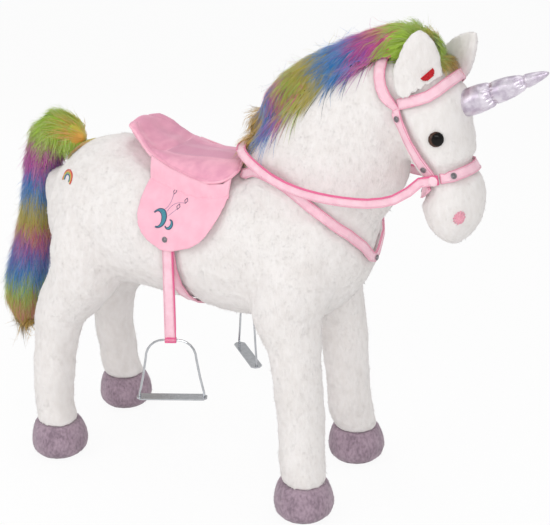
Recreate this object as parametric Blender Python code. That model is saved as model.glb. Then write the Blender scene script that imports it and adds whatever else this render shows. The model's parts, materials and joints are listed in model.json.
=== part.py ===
"""Plush ride-on unicorn: stuffed body on a welded steel tube frame, with saddle, stirrups and bridle.

Frame: +X towards the head, +Y to the animal's left, +Z up, z = 0 on the floor under the hooves,
x = 0 midway between the tail's end and the horn's tip, y = 0 in the plane of symmetry.
"""

import math

import bmesh
import bpy
from mathutils import Matrix, Vector
from mathutils.bvhtree import BVHTree

# Gaps and cutting
GAP = 0.0003
TRIM_GAP = 0.0004
SEAM_GAP = 0.0008
CUT_OVERRUN = 0.010
FLAT_CUT = 0.0005
SINK = 0.006

# Stuffed trunk
BODY_REAR = -0.455
BODY_LENGTH = 0.766
BODY_WIDTH = 0.336
BODY_HEIGHT = 0.350
BELLY_CLEARANCE = 0.378
TRUNK_SIDES = 24
# Along the body, height of the ring's middle, half width, half height
TRUNK_RING_SHARES = (
    (0.004, 0.477, 0.065, 0.085),
    (0.011, 0.500, 0.160, 0.243),
    (0.033, 0.500, 0.254, 0.326),
    (0.072, 0.494, 0.344, 0.391),
    (0.137, 0.503, 0.430, 0.440),
    (0.215, 0.513, 0.479, 0.469),
    (0.325, 0.520, 0.496, 0.455),
    (0.460, 0.497, 0.494, 0.454),
    (0.595, 0.482, 0.500, 0.474),
    (0.719, 0.495, 0.506, 0.490),
    (0.823, 0.510, 0.495, 0.480),
    (0.901, 0.505, 0.440, 0.430),
    (0.955, 0.485, 0.325, 0.330),
    (0.985, 0.470, 0.180, 0.190),
    (0.997, 0.465, 0.065, 0.070),
)

# Neck, measured from its foot in the trunk
NECK_LENGTH = 0.360
NECK_DEPTH = 0.330
NECK_WIDTH = 0.262
NECK_FOOT_ALONG_SHARE = 0.709
NECK_FOOT_HEIGHT_SHARE = 0.560
NECK_SIDES = 20
NECK_CAP_SHARE = 0.060
# Forward and upward of the foot, half depth, half width
NECK_RING_SHARES = (
    (0.020, 0.040, 0.360, 0.420),
    (0.209, 0.224, 0.466, 0.500),
    (0.346, 0.429, 0.466, 0.440),
    (0.460, 0.591, 0.436, 0.382),
    (0.560, 0.748, 0.350, 0.344),
    (0.672, 0.857, 0.290, 0.320),
    (0.790, 0.905, 0.220, 0.250),
)

# Head, measured down from its crown, which the neck carries
HEAD_LENGTH = 0.362
HEAD_DEPTH = 0.160
HEAD_WIDTH = 0.172
CROWN_SHARES = (0.900, 1.070)
HEAD_SIDES = 20
# Down from the crown, middle forward of it, half depth, half width
HEAD_RING_SHARES = (
    (0.025, -0.045, 0.250, 0.233),
    (0.080, -0.050, 0.400, 0.384),
    (0.163, -0.031, 0.450, 0.465),
    (0.273, 0.040, 0.459, 0.500),
    (0.384, 0.116, 0.441, 0.494),
    (0.467, 0.187, 0.419, 0.459),
    (0.540, 0.259, 0.374, 0.413),
    (0.583, 0.287, 0.313, 0.390),
    (0.649, 0.353, 0.347, 0.420),
    (0.729, 0.382, 0.382, 0.436),
    (0.798, 0.378, 0.366, 0.425),
    (0.867, 0.396, 0.315, 0.385),
    (0.945, 0.402, 0.200, 0.280),
    (0.990, 0.385, 0.085, 0.110),
)

# Legs and hooves
LEG_DIAMETER = 0.106
LEG_SIDES = 16
LEG_FOOT_SHARE = 0.440
LEG_CAP_SHARE = 0.300
TRACK_WIDTH = 0.280
FRONT_HOOF_SETBACK = 0.0895
REAR_HOOF_SETBACK = 0.0595
HOOF_HEIGHT = 0.076
HOOF_DIAMETER = 0.126
HOOF_SIDES = 16
HOOF_SOLE_SHARE = 0.385
# Height in belly clearances, forward and inward of the hoof's middle and radius in leg diameters
FRONT_LEG_SHARES = (
    (0.317, -0.089, 0.094, 0.472),
    (0.382, -0.108, 0.151, 0.472),
    (0.529, -0.137, 0.189, 0.476),
    (0.661, -0.184, 0.189, 0.472),
    (0.775, -0.218, 0.195, 0.481),
    (0.881, -0.297, 0.208, 0.514),
    (0.942, -0.311, 0.236, 0.528),
    (1.021, -0.401, 0.283, 0.604),
    (1.119, -0.505, 0.330, 0.703),
    (1.212, -0.514, 0.377, 0.783),
    (1.389, -0.297, 0.396, 0.792),
    (1.534, -0.203, 0.453, 0.566),
)
REAR_LEG_SHARES = (
    (0.291, -0.094, 0.066, 0.420),
    (0.423, -0.110, 0.085, 0.425),
    (0.529, -0.108, 0.160, 0.443),
    (0.628, -0.094, 0.208, 0.451),
    (0.714, -0.071, 0.250, 0.483),
    (0.820, -0.047, 0.302, 0.542),
    (0.913, 0.071, 0.330, 0.580),
    (0.997, 0.284, 0.358, 0.637),
    (1.111, 0.599, 0.387, 0.726),
    (1.270, 0.722, 0.415, 0.802),
    (1.429, 0.788, 0.462, 0.755),
    (1.561, 0.807, 0.509, 0.547),
)
# Height in hoof heights, radius in hoof diameters, forward shift in hoof diameters
HOOF_RING_SHARES = (
    (0.060, 0.400, 0.000),
    (0.160, 0.470, 0.010),
    (0.380, 0.500, 0.015),
    (0.640, 0.480, 0.010),
    (0.860, 0.435, 0.000),
    (0.985, 0.400, -0.008),
)

# Ears, each posed by itself
EAR_LENGTH = 0.122
EAR_WIDTH = 0.082
EAR_THICKNESS = 0.026
EAR_SPREAD_SHARE = 0.345
EAR_TURN = math.radians(63)
RIGHT_EAR_LEAN = math.radians(-2)
LEFT_EAR_LEAN = math.radians(27)
RIGHT_EAR_TILT = math.radians(0)
LEFT_EAR_TILT = math.radians(16)
RIGHT_EAR_FOOT_SHARES = (0.170, 0.010)
LEFT_EAR_FOOT_SHARES = (0.145, 0.090)
EAR_SIDES = 12
# Along the ear, half width, half thickness
EAR_RING_SHARES = (
    (0.040, 0.300, 0.420),
    (0.200, 0.430, 0.500),
    (0.420, 0.500, 0.480),
    (0.620, 0.460, 0.420),
    (0.800, 0.340, 0.340),
    (0.930, 0.180, 0.220),
)

# Horn of quilted metallic cloth, gathered at two necks
HORN_LENGTH = 0.180
HORN_DIAMETER = 0.053
HORN_RISE = math.radians(25.6)
HORN_SINK = 0.012
HORN_AXIS_SHARES = (0.298, 0.112)
HORN_SIDES = 14
# Along the horn, radius in horn diameters
HORN_RING_SHARES = (
    (0.010, 0.485),
    (0.120, 0.500),
    (0.260, 0.480),
    (0.360, 0.420),
    (0.410, 0.340),
    (0.460, 0.385),
    (0.560, 0.375),
    (0.640, 0.310),
    (0.680, 0.235),
    (0.720, 0.265),
    (0.840, 0.225),
    (0.950, 0.130),
)

# Hair: mane, forelock and tail, as the thick bunches that the hair fills
MANE_HEIGHT = 0.110
MANE_WIDTH = 0.124
HAIR_SIDES = 12
HAIR_CAP_SHARE = 0.120
# Forward and upward of the neck's foot in neck lengths, half height, half width
MANE_RING_SHARES = (
    (-0.090, 0.570, 0.250, 0.300),
    (-0.010, 0.625, 0.300, 0.350),
    (0.050, 0.720, 0.400, 0.440),
    (0.130, 0.795, 0.450, 0.480),
    (0.297, 0.911, 0.460, 0.500),
    (0.539, 1.037, 0.430, 0.480),
    (0.714, 1.112, 0.420, 0.430),
    (0.820, 1.125, 0.380, 0.340),
)
FORELOCK_LENGTH = 0.100
FORELOCK_WIDTH = 0.084
FORELOCK_HEIGHT = 0.062
# Forward and upward of the crown in forelock lengths, half height, half width
FORELOCK_RING_SHARES = (
    (-0.360, 0.400, 0.300, 0.300),
    (-0.270, 0.360, 0.350, 0.400),
    (-0.136, 0.260, 0.360, 0.440),
    (-0.060, 0.070, 0.360, 0.440),
    (0.050, -0.110, 0.300, 0.360),
)
TAIL_DROP = 0.520
TAIL_THICKNESS = 0.094
TAIL_WIDTH = 0.100
TAIL_ROOT_SHARES = (0.070, 0.900)
# Backward and upward of the root in tail drops, half thickness, half width
TAIL_RING_SHARES = (
    (-0.010, 0.000, 0.220, 0.240),
    (0.030, 0.040, 0.380, 0.380),
    (0.090, 0.060, 0.470, 0.460),
    (0.160, 0.005, 0.470, 0.480),
    (0.205, -0.130, 0.430, 0.470),
    (0.228, -0.300, 0.430, 0.470),
    (0.262, -0.470, 0.470, 0.480),
    (0.310, -0.640, 0.530, 0.500),
    (0.335, -0.770, 0.530, 0.480),
    (0.305, -0.870, 0.360, 0.360),
)

# Eyes with a shank through the plush and a lock washer inside
EYE_RADIUS = 0.0155
EYE_DOME = 0.010
EYE_SHANK_RADIUS = 0.0035
EYE_SHANK_LENGTH = 0.024
EYE_WASHER_RADIUS = 0.013
EYE_WASHER_THICKNESS = 0.003
EYE_WASHER_DEPTH = 0.014
EYE_SHARES = (0.376, 0.281)
EYE_SIDES = 12
EYE_SINK = 0.002
EYE_SIDEWAYS_SHARE = 0.5
# Radius in eye radii and height in dome heights, from the back rim to the crown of the dome
EYE_DOME_SHARES = (
    (0.880, 0.000),
    (1.000, 0.180),
    (0.900, 0.560),
    (0.560, 0.880),
)

# Nostril patches
NOSTRIL_RADIUS = 0.010
NOSTRIL_THICKNESS = 0.0016
NOSTRIL_SHARES = (0.796, 0.578)

# Webbing
STRAP_WIDTH = 0.020
STRAP_THICKNESS = 0.003
BREAST_STRAP_WIDTH = 0.019
GIRTH_WIDTH = 0.024
REIN_WIDTH = 0.017
REIN_THICKNESS = 0.0035
RIVET_RADIUS = 0.0042
RIVET_HEIGHT = 0.0022
RIVET_SINK = 0.0009
RIVET_SIDES = 8
RIVET_RIM_SHARE = 0.350
RIVET_CROWN_SHARES = (0.620, 0.850)
STRAP_STEP = 0.018
STRAP_REACH = 0.060
STRAP_SMOOTHING = 2
CHEEK_RIVET_SHARE = 0.040
BROW_RIVET_SHARE = 0.190
NOSE_RIVET_SHARE = 0.100
CHIN_RIVET_SHARE = 0.500
BREAST_RIVET_SHARE = 0.500
BOSS_RADIUS = 0.0095
BOSS_SHANK_RADIUS = 0.0035
BOSS_RIM = 0.0020
BOSS_DOME = 0.0045
BOSS_CROWN_SHARE = 0.600
BOSS_SIDES = 12

# Where the webbing runs
# Down from the crown in head lengths, forward in head depths, sideways in head widths
CROWN_STRAP_SHARES = (
    (0.592, 0.215, 0.400),
    (0.500, 0.060, 0.460),
    (0.400, -0.090, 0.500),
    (0.300, -0.235, 0.490),
    (0.220, -0.345, 0.470),
    (0.140, -0.452, 0.440),
    (0.050, -0.543, 0.380),
    (-0.020, -0.595, 0.260),
    (-0.060, -0.622, 0.000),
)
BROWBAND_SHARES = (
    (0.222, -0.215, 0.460),
    (0.195, -0.060, 0.480),
    (0.160, 0.160, 0.440),
    (0.106, 0.320, 0.300),
    (0.074, 0.400, 0.000),
)
NOSEBAND_SHARES = (
    (0.590, 0.330, 0.390),
    (0.578, 0.460, 0.330),
    (0.566, 0.540, 0.200),
    (0.562, 0.570, 0.000),
)
CHIN_STRAP_SHARES = (
    (0.640, 0.180, 0.400),
    (0.690, 0.080, 0.320),
    (0.720, 0.010, 0.180),
    (0.730, -0.010, 0.000),
)
BOSS_SHARES = (0.602, 0.262)
# Ends of the lines that the straps go round, in the head and in the trunk
HEAD_CORE_SHARES = ((0.120, -0.180), (0.800, 0.350))
TRUNK_CORE_SHARES = ((0.273, 0.500), (0.813, 0.500))
# Along the body, up from the belly in body heights, sideways in body widths
BREAST_STRAP_SHARES = (
    (0.657, 0.985, 0.250),
    (0.730, 1.040, 0.360),
    (0.792, 1.030, 0.420),
    (0.861, 0.960, 0.440),
    (0.896, 0.905, 0.430),
    (0.943, 0.805, 0.380),
    (0.964, 0.700, 0.290),
    (0.977, 0.570, 0.140),
    (0.979, 0.470, 0.000),
)
GIRTH_SHARES = (
    (0.496, 0.640, 0.500),
    (0.499, 0.500, 0.510),
    (0.502, 0.350, 0.490),
    (0.505, 0.180, 0.400),
    (0.507, 0.060, 0.260),
    (0.508, 0.020, 0.000),
)

# Reins, a loop of webbing from the bosses back over the withers
REIN_STAND = 0.0022
REIN_STEP = 0.026
# Down from the crown in head lengths, forward in head depths, sideways in head widths, lean of the flat side
REIN_SHARES = (
    (0.620, 0.100, 0.440, 0.000),
    (0.672, -0.020, 0.500, 0.000),
    (0.710, -0.160, 0.590, 0.000),
    (0.729, -0.428, 0.727, 0.000),
    (0.718, -0.859, 0.850, 0.000),
    (0.692, -1.288, 0.885, 0.050),
    (0.652, -1.640, 0.845, 0.150),
    (0.606, -1.980, 0.700, 0.400),
    (0.582, -2.210, 0.523, 0.900),
    (0.580, -2.370, 0.262, 2.500),
    (0.580, -2.412, 0.000, 6.000),
)

# Saddle: a padded scoop of a seat with a raised cantle, and a flap on each side
SEAT_LENGTH = 0.292
SEAT_WIDTH = 0.243
SEAT_REAR_SHARE = 0.278
SEAT_PAD = 0.014
SEAT_RIM_PAD = 0.011
SEAT_FRONT_BOW = 0.018
SEAT_BASE_SHARE = 0.930
SEAT_COLUMNS = 12
SEAT_WALL_SHARES = (0.450, 0.950)
CANTLE_RISE = 0.047
# Along the seat from its rear, half width, height of the rim's wall, height of the floor behind the rider
SEAT_OUTLINE_SHARES = (
    (0.000, 0.110, 0.620, 1.000),
    (0.030, 0.190, 0.860, 0.980),
    (0.085, 0.250, 1.000, 0.700),
    (0.150, 0.300, 0.900, 0.320),
    (0.220, 0.350, 0.640, 0.100),
    (0.310, 0.405, 0.460, 0.000),
    (0.390, 0.430, 0.390, 0.000),
    (0.470, 0.452, 0.270, 0.000),
    (0.560, 0.470, 0.200, 0.000),
    (0.640, 0.485, 0.140, 0.000),
    (0.720, 0.494, 0.090, 0.000),
    (0.800, 0.500, 0.100, 0.000),
    (0.900, 0.488, 0.030, 0.000),
    (0.960, 0.440, 0.000, 0.000),
    (1.000, 0.350, 0.000, 0.000),
)
FLAP_THICKNESS = 0.006
FLAP_SEAM_GAP = 0.0020
FLAP_TOP_GAP = 0.0008
FLAP_STAND = 0.0145
FLAP_STAND_SHARE = 0.600
FLAP_ROWS = 8
FLAP_COLUMNS = 6
FLAP_SEAM_SHARE = 0.920
FLAP_FOOT_SHARE = 0.497
# Down the flap, rear edge and front edge along the body
FLAP_EDGE_SHARES = (
    (0.000, 0.400, 0.655),
    (0.300, 0.402, 0.648),
    (0.500, 0.406, 0.634),
    (0.680, 0.415, 0.616),
    (0.820, 0.433, 0.591),
    (0.930, 0.458, 0.556),
    (1.000, 0.486, 0.519),
)

# Stirrups: strap, iron of round rod and foot plate
STIRRUP_ALONG_SHARE = 0.501
STIRRUP_PIVOT_RISE = 0.024
STIRRUP_STRAP_WIDTH = 0.022
STIRRUP_STRAP_THICKNESS = 0.003
STIRRUP_STRAP_LENGTH = 0.225
STIRRUP_STRAP_OFFSET = 0.0066
STIRRUP_STRAP_TOP = 0.009
STIRRUP_STRAP_ROWS = 10
LEFT_STRAP_EXTRA = 0.045
RIGHT_STIRRUP_YAW = math.radians(25)
LEFT_STIRRUP_YAW = math.radians(-45)
IRON_ROD_RADIUS = 0.0025
IRON_HEIGHT = 0.132
IRON_TOP_FLAT = 0.030
IRON_SHOULDER_WIDTH = 0.106
IRON_SHOULDER_DROP = 0.042
IRON_FOOT_WIDTH = 0.136
IRON_BEND_STEPS = 6
IRON_END = 0.0015
PLATE_LENGTH = 0.149
PLATE_WIDTH = 0.027
PLATE_THICKNESS = 0.003
PLATE_CORNER = 0.008
LOOP_WALL = 0.0025
LOOP_PLAY = 0.0004
ROD_SIDES = 8
PIVOT_RADIUS = 0.0018
PIVOT_TAIL_RADIUS = 0.0034
PIVOT_TAIL = 0.0010
PIVOT_PLAY = 0.0003
PIVOT_HEAD_STAND = 0.0006

# Welded steel frame inside the stuffing
TUBE_RADIUS = 0.0125
TUBE_WALL = 0.0015
TUBE_SIDES = 10
SPINE_WIDTH = 0.040
SPINE_DEPTH = 0.025
CROSS_HEIGHT_SHARE = 0.560
CROSS_HALF_LENGTH = 0.118
LEG_TUBE_INSET = 0.040
FRONT_TUBE_LEAN = 0.016
REAR_TUBE_LEAN = 0.040
SPINE_OVERHANG = 0.030
TUBE_FOOT_HEIGHT = 0.022
NECK_POST_LENGTH = 0.240
NECK_POST_SETBACK = 0.050
NECK_POST_RISE = math.radians(52)
SEAT_BOARD_LENGTH = 0.240
SEAT_BOARD_WIDTH = 0.170
SEAT_BOARD_THICKNESS = 0.015

# Colours: red, green, blue, roughness, metallic
FINISHES = {
    "plush": (0.880, 0.865, 0.840, 0.95, 0.0),
    "hoof": (0.330, 0.270, 0.310, 0.95, 0.0),
    "hair": (0.560, 0.330, 0.520, 0.90, 0.0),
    "horn": (0.640, 0.580, 0.680, 0.35, 0.8),
    "eye": (0.020, 0.012, 0.010, 0.08, 0.0),
    "nostril": (0.900, 0.480, 0.520, 0.90, 0.0),
    "velvet": (0.860, 0.420, 0.560, 0.90, 0.0),
    "webbing": (0.880, 0.480, 0.600, 0.80, 0.0),
    "boss": (0.880, 0.640, 0.720, 0.40, 0.0),
    "rivet": (0.420, 0.400, 0.400, 0.35, 1.0),
    "rod": (0.620, 0.620, 0.660, 0.30, 1.0),
    "steel": (0.120, 0.120, 0.130, 0.50, 1.0),
    "plywood": (0.620, 0.450, 0.280, 0.70, 0.0),
    "washer": (0.850, 0.850, 0.850, 0.50, 0.0),
}

# Places worked out from the sizes
TRUNK_MIDDLE = BELLY_CLEARANCE + NECK_FOOT_HEIGHT_SHARE * BODY_HEIGHT
BODY_FRONT = BODY_REAR + BODY_LENGTH
NECK_FOOT = Vector((BODY_REAR + NECK_FOOT_ALONG_SHARE * BODY_LENGTH, 0, TRUNK_MIDDLE))
CROWN = NECK_FOOT + Vector((CROWN_SHARES[0] * NECK_LENGTH, 0, CROWN_SHARES[1] * NECK_LENGTH))
FRONT_HOOF_X = BODY_FRONT - FRONT_HOOF_SETBACK
REAR_HOOF_X = BODY_REAR + REAR_HOOF_SETBACK
HALF_TRACK = TRACK_WIDTH / 2
UP = Vector((0, 0, 1))
FORWARD = Vector((1, 0, 0))
LEFT = Vector((0, 1, 0))
RIGHT_SIDE = -1
LEFT_SIDE = 1
SIDE_NAMES = ((RIGHT_SIDE, "right"), (LEFT_SIDE, "left"))


def clear_scene():
    for thing in list(bpy.data.objects):
        bpy.data.objects.remove(thing, do_unlink=True)


def finish_material(finish):
    """One material for each node, in the finish's colour."""
    red, green, blue, roughness, metallic = FINISHES[finish]
    material = bpy.data.materials.new(finish)
    material.use_nodes = True
    shader = material.node_tree.nodes["Principled BSDF"]
    shader.inputs["Base Color"].default_value = (red, green, blue, 1)
    shader.inputs["Roughness"].default_value = roughness
    shader.inputs["Metallic"].default_value = metallic
    material.diffuse_color = (red, green, blue, 1)
    return material


def add_object(name, verts, faces, finish):
    """An object from points and faces, with its normals pointing out and its four-sided faces split flat."""
    mesh = bpy.data.meshes.new(name)
    shape = bmesh.new()
    points = [shape.verts.new(point) for point in verts]
    for face in faces:
        shape.faces.new([points[i] for i in face])
    bmesh.ops.recalc_face_normals(shape, faces=shape.faces)
    four_sided = [face for face in shape.faces if len(face.verts) == 4]
    bmesh.ops.triangulate(shape, faces=four_sided)
    shape.to_mesh(mesh)
    shape.free()
    thing = bpy.data.objects.new(name, mesh)
    bpy.context.scene.collection.objects.link(thing)
    mesh.materials.append(finish_material(finish))
    mesh.shade_smooth()
    mesh.set_sharp_from_angle(angle=math.radians(40))
    return thing


def skin_rings(rings, start=None, end=None):
    """Points and faces of a closed tube through rings of points, with a pole or a flat cap at each end."""
    verts = [point for ring in rings for point in ring]
    sides = len(rings[0])
    faces = []
    for row in range(len(rings) - 1):
        for i in range(sides):
            near = row * sides
            far = near + sides
            after = (i + 1) % sides
            faces.append((near + i, near + after, far + after, far + i))
    last = (len(rings) - 1) * sides
    for pole, first in ((start, 0), (end, last)):
        if pole is None:
            faces.append(tuple(range(first, first + sides)))
        else:
            verts.append(pole)
            tip = len(verts) - 1
            faces += [(first + i, first + (i + 1) % sides, tip) for i in range(sides)]
    return verts, faces


def ring_points(middle, along, across, half_depth, half_width, sides):
    """An oval ring round a point: half_width along across, half_depth square to it and to along."""
    across = (across - across.dot(along) * along).normalized()
    deep = across.cross(along)
    ring = []
    for i in range(sides):
        turn = math.tau * i / sides
        ring.append(middle + across * (half_width * math.cos(turn)) + deep * (half_depth * math.sin(turn)))
    return ring


def tangents(points):
    """The direction of a route at each of its points."""
    last = len(points) - 1
    found = []
    for i in range(len(points)):
        found.append((points[min(i + 1, last)] - points[max(i - 1, 0)]).normalized())
    return found


def stuffed_form(name, stations, start, end, sides, finish, across=LEFT):
    """A stuffed shape that swells and tapers through stations of middle, half depth and half width."""
    route = [start] + [station[0] for station in stations] + [end]
    directions = tangents(route)[1:-1]
    rings = []
    for (middle, half_depth, half_width), along in zip(stations, directions):
        rings.append(ring_points(middle, along, across, half_depth, half_width, sides))
    verts, faces = skin_rings(rings, start, end)
    return add_object(name, verts, faces, finish)


def swollen_copy(thing, gap):
    """A cutter: the object's own shape, grown by the gap."""
    mesh = thing.data.copy()
    shape = bmesh.new()
    shape.from_mesh(mesh)
    shape.normal_update()
    moves = [vert.normal * gap for vert in shape.verts]
    for vert, move in zip(shape.verts, moves):
        vert.co += move
    shape.to_mesh(mesh)
    shape.free()
    cutter = bpy.data.objects.new(thing.name + "_cutter", mesh)
    bpy.context.scene.collection.objects.link(cutter)
    cutter.hide_render = True
    cutter.display_type = "WIRE"
    return cutter


def apply_boolean(thing, cutter, operation):
    """Cut the object, keep the result as its mesh, and remove the cutter."""
    modifier = thing.modifiers.new("cut", "BOOLEAN")
    modifier.operation = operation
    modifier.solver = "EXACT"
    modifier.object = cutter
    depsgraph = bpy.context.evaluated_depsgraph_get()
    mesh = bpy.data.meshes.new_from_object(thing.evaluated_get(depsgraph))
    thing.modifiers.clear()
    thing.data = mesh
    bpy.data.objects.remove(cutter, do_unlink=True)


def carve(thing, neighbours, gap=GAP):
    """Cut the object clear of its neighbours."""
    for neighbour in neighbours:
        apply_boolean(thing, swollen_copy(neighbour, gap), "DIFFERENCE")


def surface_of(things):
    """One search tree over the surfaces of several objects."""
    verts = []
    faces = []
    for thing in things:
        first = len(verts)
        verts += [vert.co.copy() for vert in thing.data.vertices]
        faces += [tuple(first + i for i in face.vertices) for face in thing.data.polygons]
    return BVHTree.FromPolygons(verts, faces)


def smooth_route(points, step, values=None):
    """A smooth curve through the points, with a point about every step, or values that follow it."""
    values = values or points
    padded = [values[0] * 2 - values[1]] + list(values) + [values[-1] * 2 - values[-2]]
    route = []
    for i in range(len(points) - 1):
        before, here, after, later = padded[i:i + 4]
        count = max(1, round((points[i + 1] - points[i]).length / step))
        for k in range(count):
            route.append(hermite(before, here, after, later, k / count))
    route.append(values[-1].copy())
    return route


def hermite(before, here, after, later, t):
    """A point between here and after on the cubic whose slopes follow the neighbours."""
    start_slope = (after - before) / 2
    end_slope = (later - here) / 2
    return (
        here * (2 * t**3 - 3 * t**2 + 1)
        + start_slope * (t**3 - 2 * t**2 + t)
        + after * (3 * t**2 - 2 * t**3)
        + end_slope * (t**3 - t**2)
    )


def below_crown(down, forward, sideways=0, side=RIGHT_SIDE):
    """A place on the head from shares of its length, depth and width."""
    return CROWN + Vector((forward * HEAD_DEPTH, side * sideways * HEAD_WIDTH, -down * HEAD_LENGTH))


def on_trunk(along, up, sideways=0, side=RIGHT_SIDE):
    """A place on the trunk from shares of its length, height and width."""
    x = BODY_REAR + along * BODY_LENGTH
    return Vector((x, side * sideways * BODY_WIDTH, BELLY_CLEARANCE + up * BODY_HEIGHT))


def both_sides(place, shares):
    """A route that starts on the right, crosses the middle at its last share and ends on the left."""
    right = [place(*share, RIGHT_SIDE) for share in shares]
    left = [place(*share, LEFT_SIDE) for share in shares[:-1]]
    return right + left[::-1]


def add_strap(name, points, width, core, surface, neighbours):
    """A flat strap laid along a route on what surrounds a core line, cut clear of what is under it."""
    route = []
    normals = []
    for point in smooth_route(points, STRAP_STEP):
        outward = (point - nearest_on_line(core, point)).normalized()
        spot, normal, _, _ = surface.ray_cast(point + outward * STRAP_REACH, -outward)
        route.append(spot)
        normals.append(normal)
    normals = [average(normals, i, STRAP_SMOOTHING) for i in range(len(normals))]
    outer = []
    rings = []
    for spot, normal, along in zip(route, normals, tangents(route)):
        across = along.cross(normal).normalized() * (width / 2)
        top = spot + normal * (STRAP_THICKNESS + GAP)
        under = spot - normal * SINK
        rings.append([top - across, top + across, under + across, under - across])
        outer.append((top, normal))
    strap = add_object(name, *skin_rings(rings), "webbing")
    carve(strap, neighbours)
    return strap, outer


def nearest_on_line(core, point):
    """The place on a straight core, between its ends, that lies nearest to a point."""
    start, end = core
    share = (point - start).dot(end - start) / (end - start).length_squared
    return start + (end - start) * min(1, max(0, share))


def average(vectors, middle, reach):
    """The mean direction of the vectors near one of them."""
    near = vectors[max(0, middle - reach):middle + reach + 1]
    total = Vector((0, 0, 0))
    for vector in near:
        total += vector
    return total.normalized()


def turned_piece(name, base, axis, profile, sides, finish):
    """A piece turned round an axis from a profile of radius and height, with poles at its ends."""
    axis = axis.normalized()
    across = axis.orthogonal().normalized()
    rings = []
    for radius, height in profile[1:-1]:
        rings.append(ring_points(base + axis * height, axis, across, radius, radius, sides))
    start = base + axis * profile[0][1]
    end = base + axis * profile[-1][1]
    return add_object(name, *skin_rings(rings, start, end), finish)


def add_rivet(name, strap, outer, share):
    """A domed rivet head on the strap at a share of its length."""
    spot, normal = outer[round(share * (len(outer) - 1))]
    profile = (
        (0, -RIVET_SINK),
        (RIVET_RADIUS, -RIVET_SINK),
        (RIVET_RADIUS, RIVET_HEIGHT * RIVET_RIM_SHARE),
        (RIVET_RADIUS * RIVET_CROWN_SHARES[0], RIVET_HEIGHT * RIVET_CROWN_SHARES[1]),
        (0, RIVET_HEIGHT),
    )
    rivet = turned_piece(name, spot, normal, profile, RIVET_SIDES, "rivet")
    carve(rivet, [strap], TRIM_GAP)
    return rivet


def ring_body(name, rings, finish):
    """A closed band through rings of points, the last joined to the first."""
    sides = len(rings[0])
    verts = [point for ring in rings for point in ring]
    faces = []
    for row in range(len(rings)):
        after = (row + 1) % len(rings)
        for i in range(sides):
            k = (i + 1) % sides
            faces.append((row * sides + i, row * sides + k, after * sides + k, after * sides + i))
    return add_object(name, verts, faces, finish)


def straight_tube(name, start, end, outer, inner, sides, finish):
    """A tube or a washer with open ends."""
    along = (end - start).normalized()
    across = along.orthogonal().normalized()
    rings = []
    for place, radius in ((start, outer), (end, outer), (end, inner), (start, inner)):
        rings.append(ring_points(place, along, across, radius, radius, sides))
    return ring_body(name, rings, finish)


def round_hole(radius, clearance, sides):
    """The corner radius of a faceted hole whose flats clear a pin of a radius."""
    return (radius + clearance) / math.cos(math.pi / sides)


def cut_round(thing, start, end, radius, sides=TUBE_SIDES):
    """A round hole between two points."""
    along = (end - start).normalized()
    across = along.orthogonal().normalized()
    rings = [ring_points(place, along, across, radius, radius, sides) for place in (start, end)]
    apply_boolean(thing, add_object("round_cutter", *skin_rings(rings), "steel"), "DIFFERENCE")


def block(name, low, high, finish):
    """A plain block between two corners."""
    rings = []
    for z in (low.z, high.z):
        corners = ((low.x, low.y), (high.x, low.y), (high.x, high.y), (low.x, high.y))
        rings.append([Vector((x, y, z)) for x, y in corners])
    return add_object(name, *skin_rings(rings), finish)


def table_value(table, share, column):
    """A column of a table of shares, read straight between its rows."""
    for before, after in zip(table, table[1:]):
        if share <= after[0]:
            part = max(0, (share - before[0]) / (after[0] - before[0]))
            return before[column] + (after[column] - before[column]) * part
    return table[-1][column]


def eased(value, low, high):
    """Nothing at low, one at high, with a soft start and end."""
    part = min(1, max(0, (value - low) / (high - low)))
    return part * part * (3 - 2 * part)


def make_trunk():
    stations = []
    for along, up, half_width, half_height in TRUNK_RING_SHARES:
        stations.append((on_trunk(along, up), half_height * BODY_HEIGHT, half_width * BODY_WIDTH))
    start = on_trunk(0, TRUNK_RING_SHARES[0][1])
    end = on_trunk(1, TRUNK_RING_SHARES[-1][1])
    return stuffed_form("trunk", stations, start, end, TRUNK_SIDES, "plush")


def make_neck():
    stations = []
    for forward, up, half_depth, half_width in NECK_RING_SHARES:
        middle = NECK_FOOT + Vector((forward * NECK_LENGTH, 0, up * NECK_LENGTH))
        stations.append((middle, half_depth * NECK_DEPTH, half_width * NECK_WIDTH))
    last = stations[-1][0]
    end = last + (last - stations[-2][0]).normalized() * (NECK_CAP_SHARE * NECK_LENGTH)
    return stuffed_form("neck", stations, NECK_FOOT.copy(), end, NECK_SIDES, "plush")


def make_head():
    stations = []
    for down, forward, half_depth, half_width in HEAD_RING_SHARES:
        stations.append((below_crown(down, forward), half_depth * HEAD_DEPTH, half_width * HEAD_WIDTH))
    start = below_crown(0, HEAD_RING_SHARES[0][1])
    end = below_crown(1, HEAD_RING_SHARES[-1][1])
    return stuffed_form("head", stations, start, end, HEAD_SIDES, "plush")


def make_leg(name, hoof_x, side, shares):
    foot = Vector((hoof_x, side * HALF_TRACK, HOOF_HEIGHT + GAP))
    stations = [(foot.copy(), LEG_DIAMETER * LEG_FOOT_SHARE, LEG_DIAMETER * LEG_FOOT_SHARE)]
    for height, forward, inward, radius in shares:
        x = hoof_x + forward * LEG_DIAMETER
        y = side * (HALF_TRACK - inward * LEG_DIAMETER)
        middle = Vector((x, y, height * BELLY_CLEARANCE))
        stations.append((middle, radius * LEG_DIAMETER, radius * LEG_DIAMETER))
    end = stations[-1][0] + UP * (LEG_CAP_SHARE * LEG_DIAMETER)
    rings = []
    directions = [UP] + tangents([station[0] for station in stations])[1:]
    for (middle, half_depth, half_width), along in zip(stations, directions):
        rings.append(ring_points(middle, along, LEFT, half_depth, half_width, LEG_SIDES))
    return add_object(name, *skin_rings(rings, foot, end), "plush")


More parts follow.
